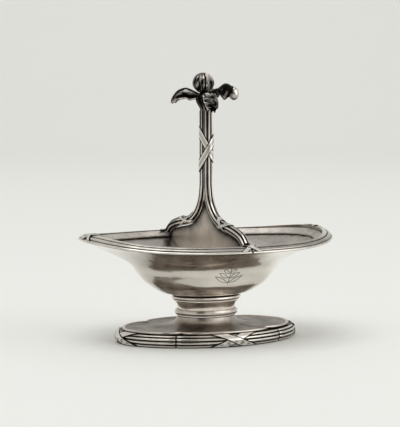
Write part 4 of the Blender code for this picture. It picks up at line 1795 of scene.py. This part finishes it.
FALLS = (
    Fall(
        name="right",
        place=0,
        midline=(
            (-0.0016, -0.0004),
            (0.0032, 0.0014),
            (0.0066, 0.0024),
            (0.0094, 0.0038),
            (0.0118, 0.0040),
            (0.0138, 0.0027),
        ),
        widths=(0.0022, 0.0042, 0.0062, 0.0068, 0.0058, 0.0030),
        crown=0.0060,
        neck=0.26,
        edge_wear=0.2,
        stain=0.30,
        knob_centre=(0.0156, -0.0002),
    ),
    Fall(
        name="left",
        place=1,
        midline=(
            (-0.0016, -0.0004),
            (0.0028, 0.0016),
            (0.0058, 0.0023),
            (0.0086, 0.0014),
            (0.0103, -0.0004),
            (0.0113, -0.0022),
            (0.0104, -0.0036),
        ),
        widths=(0.0024, 0.0056, 0.0070, 0.0066, 0.0058, 0.0054, 0.0044),
        crown=0.0044,
        edge_wear=0.7,
        stain=0.10,
    ),
    Fall(
        name="front",
        place=2,
        midline=(
            (-0.0016, -0.0004),
            (0.0031, 0.0004),
            (0.0048, -0.0018),
            (0.0054, -0.0043),
            (0.0051, -0.0062),
            (0.0045, -0.0077),
        ),
        widths=(0.0024, 0.0056, 0.0066, 0.0060, 0.0038, 0.0012),
        crown=0.0014,
        swing=0.0028,
        ripple=2.4,
    ),
)


@dataclass
class Flower(Assembly):
    """Iris flower: a calyx, three drooping falls and three standards closed to a ball."""

    stem_top: float
    calyx_height: float = 0.0068
    calyx_radius: float = 0.0041
    # Shares of the calyx's radius and height, with the short style over it
    calyx: tuple = (
        (0.70, 0.0),
        (0.72, 0.15),
        (0.95, 0.45),
        (1.0, 0.72),
        (0.75, 0.98),
        (0.50, 1.0),
        (0.34, 1.4),
    )
    ribs: int = 12
    rib_depths: tuple = (0.16, 0.06)
    # Tarnish of its ribs at its foot and from halfway up, and what its grooves add
    rib_tarnish: tuple = (0.50, 0.95)
    groove_tarnish: float = 0.5
    root_share: float = 0.75
    lean: Vector = field(default_factory=lambda: Vector((-0.0012, 0.0005, 0.0)))
    ball_radius: float = 0.0047
    ball_breadth: float = 1.07
    ball_lift: float = 0.0054
    ball_ends: tuple = (math.radians(-74), math.radians(84))
    ball_folds: float = 0.35
    ball_stain: float = 0.10
    ball_edge_wear: float = 0.85
    # Shares of a closed petal between which it is rubbed bright toward the top, and how far each is
    # brightened, the right-hand one far more for a painted highlight
    ball_wear_and_highlight: tuple = (0.50, 0.50 + 1 / 3)
    standards: tuple = (("back", 0.40), ("left", 0.28), ("right", 1.04))
    least_spread: float = 0.1
    petal: float = 0.0006
    first_angle: float = math.radians(16.8)
    turn: float = 2 * math.pi / 3
    fold_depth: float = 0.00045
    fold_slant: float = 0.35
    # Beats of the broad and the fine folds along, across and askew, and their shares
    folds: tuple = ((3.2, 3.4, 2.0, 1.5), (6.0, 9.0, 4.0, 0.9))
    fold_seed_step: float = 9.0
    fold_tarnish: float = 0.90
    ridge_wear: float = 0.45
    tip_tarnish: float = 0.4
    tip_ends: tuple = (0.70, 0.85)
    edge_ends: tuple = (0.91, 0.95)
    middle_folds: float = 0.4
    hang_run: float = 0.16
    hang_bend: float = 0.6
    knob_radius: float = 0.0023
    knob_height: float = 0.0060
    knob_crease: float = 0.12
    knob_beat: float = 0.5
    knob_tarnish: float = 0.36
    # The knob's painted highlight follows: its strength here, its direction further on
    knob_painted_highlight: float = 0.35
    knob_stain: float = 0.65
    knob_stain_beat: float = 1.7
    knob_highlight_side: tuple = (0.7, -0.8, 0.6)

    def rib(self, angle: float) -> float:
        """1 in the calyx's grooves and 0 on its ribs, at an angle round it."""
        return 0.5 + 0.5 * math.cos(self.ribs * angle)

    def build_calyx(self) -> None:
        """Spins the ribbed bud that the petals spring from, dark in its grooves."""
        bottom = self.stem_top + GAP / 10
        top = self.stem_top + GAP + self.calyx_height
        curve = smooth_line(self.calyx, 5)
        line = [(self.calyx_radius * out, blend(bottom, top, up)) for out, up in curve]
        section = [Station(0.0, bottom), *(Station(*spot) for spot in line)]
        section.append(Station(0.0, line[-1][1]))

        def place(out: float, angle: float, up: float) -> Vector:
            """Point of the bud, ribbed and leaning with height.

            Args:
                out: Distance from its middle.
                angle: Angle round it.
                up: Height.

            Returns:
                The point.
            """
            share = clamp((up - bottom) / self.calyx_height)
            ribbed = out * (1 - blend(*self.rib_depths, share) * self.rib(angle))
            return toward(angle, ribbed, up) + self.lean * share**2

        piece = spun(section, place, Turn(steps=96), closed=False)
        shades = []
        for vertex in piece.data.vertices:
            share = clamp((vertex.co.z - bottom) / self.calyx_height)
            spot = vertex.co - self.lean * share**2
            groove = self.groove_tarnish * self.rib(math.atan2(spot.y, spot.x))
            shades.append(clamp(blend(*self.rib_tarnish, clamp(2 * share)) + groove))
        set_tarnish_and_shade(piece, shades)
        self.dresser.dress(piece, Finish.FLOWER, Slot.FLOWER, "flower_calyx")

    def fold(self, along: float, across: float, seed: float) -> float:
        """Height of the chased folds, from -1 to 1: they run off the midline and are never even.

        Args:
            along: Share of the way from the petal's root to its tip.
            across: Share of the way from its midline to an edge, below zero for the other.
            seed: Number that sets this petal's folds apart from another's.

        Returns:
            The height.
        """
        slant = along + self.fold_slant * abs(across)
        height = 0.0
        for down, over, askew, share in self.folds:
            spot = Vector((down * slant, over * across - askew * along, seed))
            height += share * noise.noise(spot)
            seed += self.fold_seed_step
        return min(max(height, -1.0), 1.0)

    def fold_shade(self, fold: float, along: float, across: float, edge_wear: float) -> float:
        """Tarnish of a petal: black in the folds and at the tip, less on the ridges.

        Args:
            fold: Height of its folds there.
            along: Share of the way from its root to its tip.
            across: Share of the way from its midline to an edge, below zero for the other.
            edge_wear: How bright its thin edges are worn.

        Returns:
            The tarnish.
        """
        edge = ramp(max(abs(across), 2 * along - 1), *self.edge_ends)
        tip = self.tip_tarnish * ramp(along, *self.tip_ends)
        plain = clamp(self.fold_tarnish - self.ridge_wear * fold + tip)
        return plain * (1 - edge_wear * edge)

    def build_fall(self, fall: Fall) -> None:
        """Lays a drooping petal.

        Args:
            fall: The petal's form.
        """
        root = self.root_share * self.calyx_radius
        root_height = self.stem_top + GAP + self.calyx_height + GAP + self.petal / 2
        bearing = self.first_angle + fall.place * self.turn
        outward = toward(bearing)
        sideways = Vector((-outward.y, outward.x, 0.0))
        line = smooth_line(fall.midline, 6)
        widths = smooth_line(list(enumerate(fall.widths)), 6)

        def place(along: float, across: float) -> Vector:
            """Point of the petal, with its keel and the ruffles of its edges.

            Args:
                along: Share of the petal from its root.
                across: Share from its midline to an edge.

            Returns:
                The point.
            """
            out, up = at_share(line, along)
            aside = across * at_share(widths, along)[1] / 2 + fall.swing * math.sqrt(along)
            hang = clamp((along - fall.neck) / self.hang_run) ** self.hang_bend * (1 - along**4)
            fold = self.fold(along * fall.ripple, across / fall.ripple, fall.place)
            folds = self.fold_depth * fold * (self.middle_folds + abs(across))
            level = self.lean + outward * (root + out) + sideways * aside
            return level + UP * (root_height + up - fall.crown * across**2 * hang + folds)

        def shade(along: float, across: float) -> float:
            """Tarnish of the petal at the same two shares."""
            fold = self.fold(along * fall.ripple, across / fall.ripple, fall.place)
            return clamp(self.fold_shade(fold, along, across, fall.edge_wear) + fall.stain)

        piece = laid_grid((96, 48), place, self.petal, shade)
        if fall.knob_centre:
            out, up = fall.knob_centre
            centre = self.lean + outward * (root + out) + UP * (root_height + up)
            piece = joined(piece, self.knob(centre))
        self.dresser.dress(piece, Finish.FLOWER, Slot.FLOWER, "flower_fall_" + fall.name)

    def knob(self, centre: Vector) -> Piece:
        """Round knob that a petal's tip is curled to, with a painted highlight on its upper near
        right side.

        Args:
            centre: Its middle.

        Returns:
            The knob, with faint folds.
        """

        def place(out: float, angle: float, up: float) -> Vector:
            """Point of the knob.

            Args:
                out: Distance from its upright axis.
                angle: Angle round that.
                up: Height over its middle.

            Returns:
                The point.
            """
            away = toward(angle, out, up)
            crease = noise.noise(away / MILLIMETRE * self.knob_beat)
            return centre + away * (1 + self.knob_crease * crease)

        section = rounded((0.0, 0.0), (self.knob_radius, self.knob_height / 2), (-90, 90), 24)
        knob = spun(section, place, Turn(steps=48), closed=False)
        painted_highlight_side = Vector(self.knob_highlight_side).normalized()
        shades = []
        for vertex in knob.data.vertices:
            away = (vertex.co - centre).normalized()
            stain = self.knob_stain * noise.noise(away * self.knob_stain_beat)
            # Painted highlight: lighter on the side facing up, to the right and to the front
            worn = self.knob_painted_highlight * away.dot(painted_highlight_side)
            shades.append(clamp(self.knob_tarnish - worn + stain))
        set_tarnish_and_shade(knob, shades)
        return knob

    def build_standard(self, number: int) -> None:
        """Lays a closed petal, a curved third of the ball.

        Args:
            number: Its number round the ball.
        """
        name, wear = self.standards[number]
        middle = self.first_angle + self.turn * (number + 0.5)
        centre = self.lean + UP * (self.stem_top + GAP + self.calyx_height + self.ball_lift)
        shell = self.ball_radius - self.petal / 2
        gap = GAP + self.petal
        seed = number + len(FALLS)

        def place(along: float, across: float) -> Vector:
            """Point of the petal, chased with fine folds.

            Args:
                along: Share of the petal from its root.
                across: Share from its midline to an edge.

            Returns:
                The point.
            """
            climb = blend(*self.ball_ends, along)
            level = shell * math.cos(climb)
            spread = max((self.turn - gap / level) / 2, self.least_spread)
            fold = self.ball_folds * self.fold_depth * (self.fold(along, across, seed) - 1)
            broad = self.ball_breadth * math.cos(climb)
            out = toward(middle + across * spread) * broad
            return centre + (out + UP * math.sin(climb)) * (shell + fold)

        def shade(along: float, across: float) -> float:
            """Tarnish of the petal, worn where the ball's top is held, with a painted highlight on
            the right-hand petal.

            Args:
                along: Share of the petal from its root.
                across: Share from its midline to an edge.

            Returns:
                The tarnish.
            """
            # Wear toward the top, and on the right-hand petal a painted highlight
            worn = wear * ramp(along, *self.ball_wear_and_highlight)
            fold = self.fold(along, across, seed)
            plain = self.fold_shade(fold, along, across, self.ball_edge_wear)
            return clamp(plain + self.ball_stain - worn)

        piece = laid_grid((72, 72), place, self.petal, shade)
        self.dresser.dress(piece, Finish.FLOWER, Slot.FLOWER, "flower_standard_" + name)

    def build(self) -> None:
        """Builds the calyx and both rows of petals."""
        self.build_calyx()
        for fall in FALLS:
            self.build_fall(fall)
        for number in range(len(self.standards)):
            self.build_standard(number)


# Studio


@dataclass
class Studio:
    """Pale paper sweep, soft lamps and the camera."""

    sweep_radius: float = 2.4
    sweep_height: float = 1.6
    curve_radius: float = 0.9
    camera_place: tuple = (-0.3551, -0.7484, 0.1275)
    bearing: float = math.radians(25.19)
    tilt: float = math.radians(-4.89)
    lens: float = 155.2
    sensor_height: float = 36.0
    room: float = 0.88
    cloth_width: float = 0.5
    cloth_height: float = 1.5
    cloth_distance: float = 1.0
    paper_tooth: float = MILLIMETRE / 0.9
    # Name, place and aim in the camera's view, size and power
    lamps: tuple = (
        ("overhead softbox", (-0.2, -0.3, 1.1), (0.0, -0.1, 0.0), 0.9, 5.2),
        ("right softbox", (1.1, -0.25, 0.45), (0.0, 0.0, 0.03), 1.0, 2.0),
        ("front softbox", (0.95, -0.5, 0.32), (0.0, 0.0, 0.02), 0.7, 1.2),
        ("wall lamp", (0.0, 0.9, 1.5), (0.0, 2.4, 0.3), 1.2, 6.0),
    )

    def build_paper(self) -> None:
        """Lays the floor, which curves up to a wall behind."""
        select()
        bpy.ops.mesh.primitive_plane_add(size=2 * self.sweep_radius)
        floor = bpy.context.object
        floor.name = "paper_sweep"
        bpy.ops.object.mode_set(mode="EDIT")
        bpy.ops.mesh.select_all(action="DESELECT")
        bpy.ops.mesh.select_mode(type="EDGE")
        bpy.ops.object.mode_set(mode="OBJECT")
        for edge in floor.data.edges:
            ends = [floor.data.vertices[index].co.y for index in edge.vertices]
            edge.select = min(ends) > 0
        bpy.ops.object.mode_set(mode="EDIT")
        climb = {"value": (0, 0, self.sweep_height)}
        bpy.ops.mesh.extrude_region_move(TRANSFORM_OT_translate=climb)
        bpy.ops.object.mode_set(mode="OBJECT")
        bend = floor.modifiers.new("Curve of the paper", "BEVEL")
        bend.width = self.curve_radius
        bend.segments = 24
        bend.limit_method = "ANGLE"
        bpy.ops.object.modifier_apply(modifier=bend.name)
        # Pressed paper is matte, with a faint tooth of two near whites
        material, shader = new_material("matte background paper", {"Roughness": 0.9})
        tree = material.node_tree
        where = add_node(tree, "TexCoord", "Object", {}, {})
        look = {"Scale": 1 / self.paper_tooth, "Detail": 2.0}
        tooth = add_node(tree, "TexNoise", "Fac", look, {"Vector": where})
        look = {"data_type": "RGBA", 6: linear("#f0f1ef"), 7: linear("#eaebe7")}
        shade = add_node(tree, "Mix", 2, look, {0: tooth})
        tree.links.new(shade, shader.inputs["Base Color"])
        floor.data.materials.append(material)
        floor.rotation_euler.z = -self.bearing
        smooth(floor)

    def build_lights(self) -> None:
        """Sets the room's dim light and soft lamps over the piece and for the wall behind it."""
        world = bpy.data.worlds.new("dim room light")
        world.use_nodes = True
        background = world.node_tree.nodes["Background"]
        background.inputs["Color"].default_value = linear("#dddcd9")
        background.inputs["Strength"].default_value = self.room
        bpy.context.scene.world = world
        for name, place, aim, size, power in self.lamps:
            light = bpy.data.lights.new(name, "AREA")
            light.energy = power
            light.size = size
            lamp = bpy.data.objects.new(name, light)
            lamp.location = self.spot(*place)
            away = self.spot(*aim) - lamp.location
            lamp.rotation_euler = away.to_track_quat("-Z", "Y").to_euler()
            bpy.context.scene.collection.objects.link(lamp)

    def build_cloth(self) -> None:
        """Hangs the dark cloth behind the camera, which upright silver shows as a streak."""
        select()
        bpy.ops.mesh.primitive_plane_add(size=1.0)
        cloth = bpy.context.object
        cloth.name = "black_cotton_cloth"
        for vertex in cloth.data.vertices:
            across, up = vertex.co.x * self.cloth_width, (vertex.co.y + 0.5) * self.cloth_height
            vertex.co = self.spot(across, -self.cloth_distance, up)
        # Dyed cotton swallows nearly all light and has no gloss
        settings = {"Base Color": linear("#141312"), "Roughness": 0.9}
        cloth.data.materials.append(new_material("black cotton cloth", settings)[0])

    def spot(self, right: float, away: float, up: float) -> Vector:
        """Place given from the camera's view.

        Args:
            right: Distance to the right of the piece's axis.
            away: Distance behind that axis.
            up: Height.

        Returns:
            The place.
        """
        return toward(-self.bearing) * right + toward(math.pi / 2 - self.bearing) * away + UP * up

    def build_camera(self) -> None:
        """Sets the camera at the view of the photograph."""
        data = bpy.data.cameras.new("camera")
        data.sensor_fit = "VERTICAL"
        data.sensor_height = self.sensor_height
        data.lens = self.lens
        data.clip_start = 0.01
        camera = bpy.data.objects.new("camera", data)
        camera.location = self.camera_place
        ahead = self.spot(0.0, math.cos(self.tilt), math.sin(self.tilt))
        camera.rotation_euler = ahead.to_track_quat("-Z", "Y").to_euler()
        bpy.context.scene.collection.objects.link(camera)
        bpy.context.scene.camera = camera
        bpy.context.scene.view_settings.view_transform = "Standard"

    def build(self) -> None:
        """Builds the paper, the lights and the camera."""
        self.build_paper()
        self.build_lights()
        self.build_cloth()
        self.build_camera()


def main() -> None:
    """Builds every part in order."""
    logging.basicConfig(level=logging.INFO, format="%(name)s %(message)s")
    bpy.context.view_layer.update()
    dresser = Dresser()
    Studio().build()
    bowl = Bowl(dresser)
    Foot(dresser, bowl.form).build()
    Neck(dresser, bowl.form).build()
    bowl.build()
    handle = Handle(dresser, bowl.form)
    handle.build()
    Flower(dresser, handle.top_height).build()
    select()


if __name__ == "__main__":
    main()
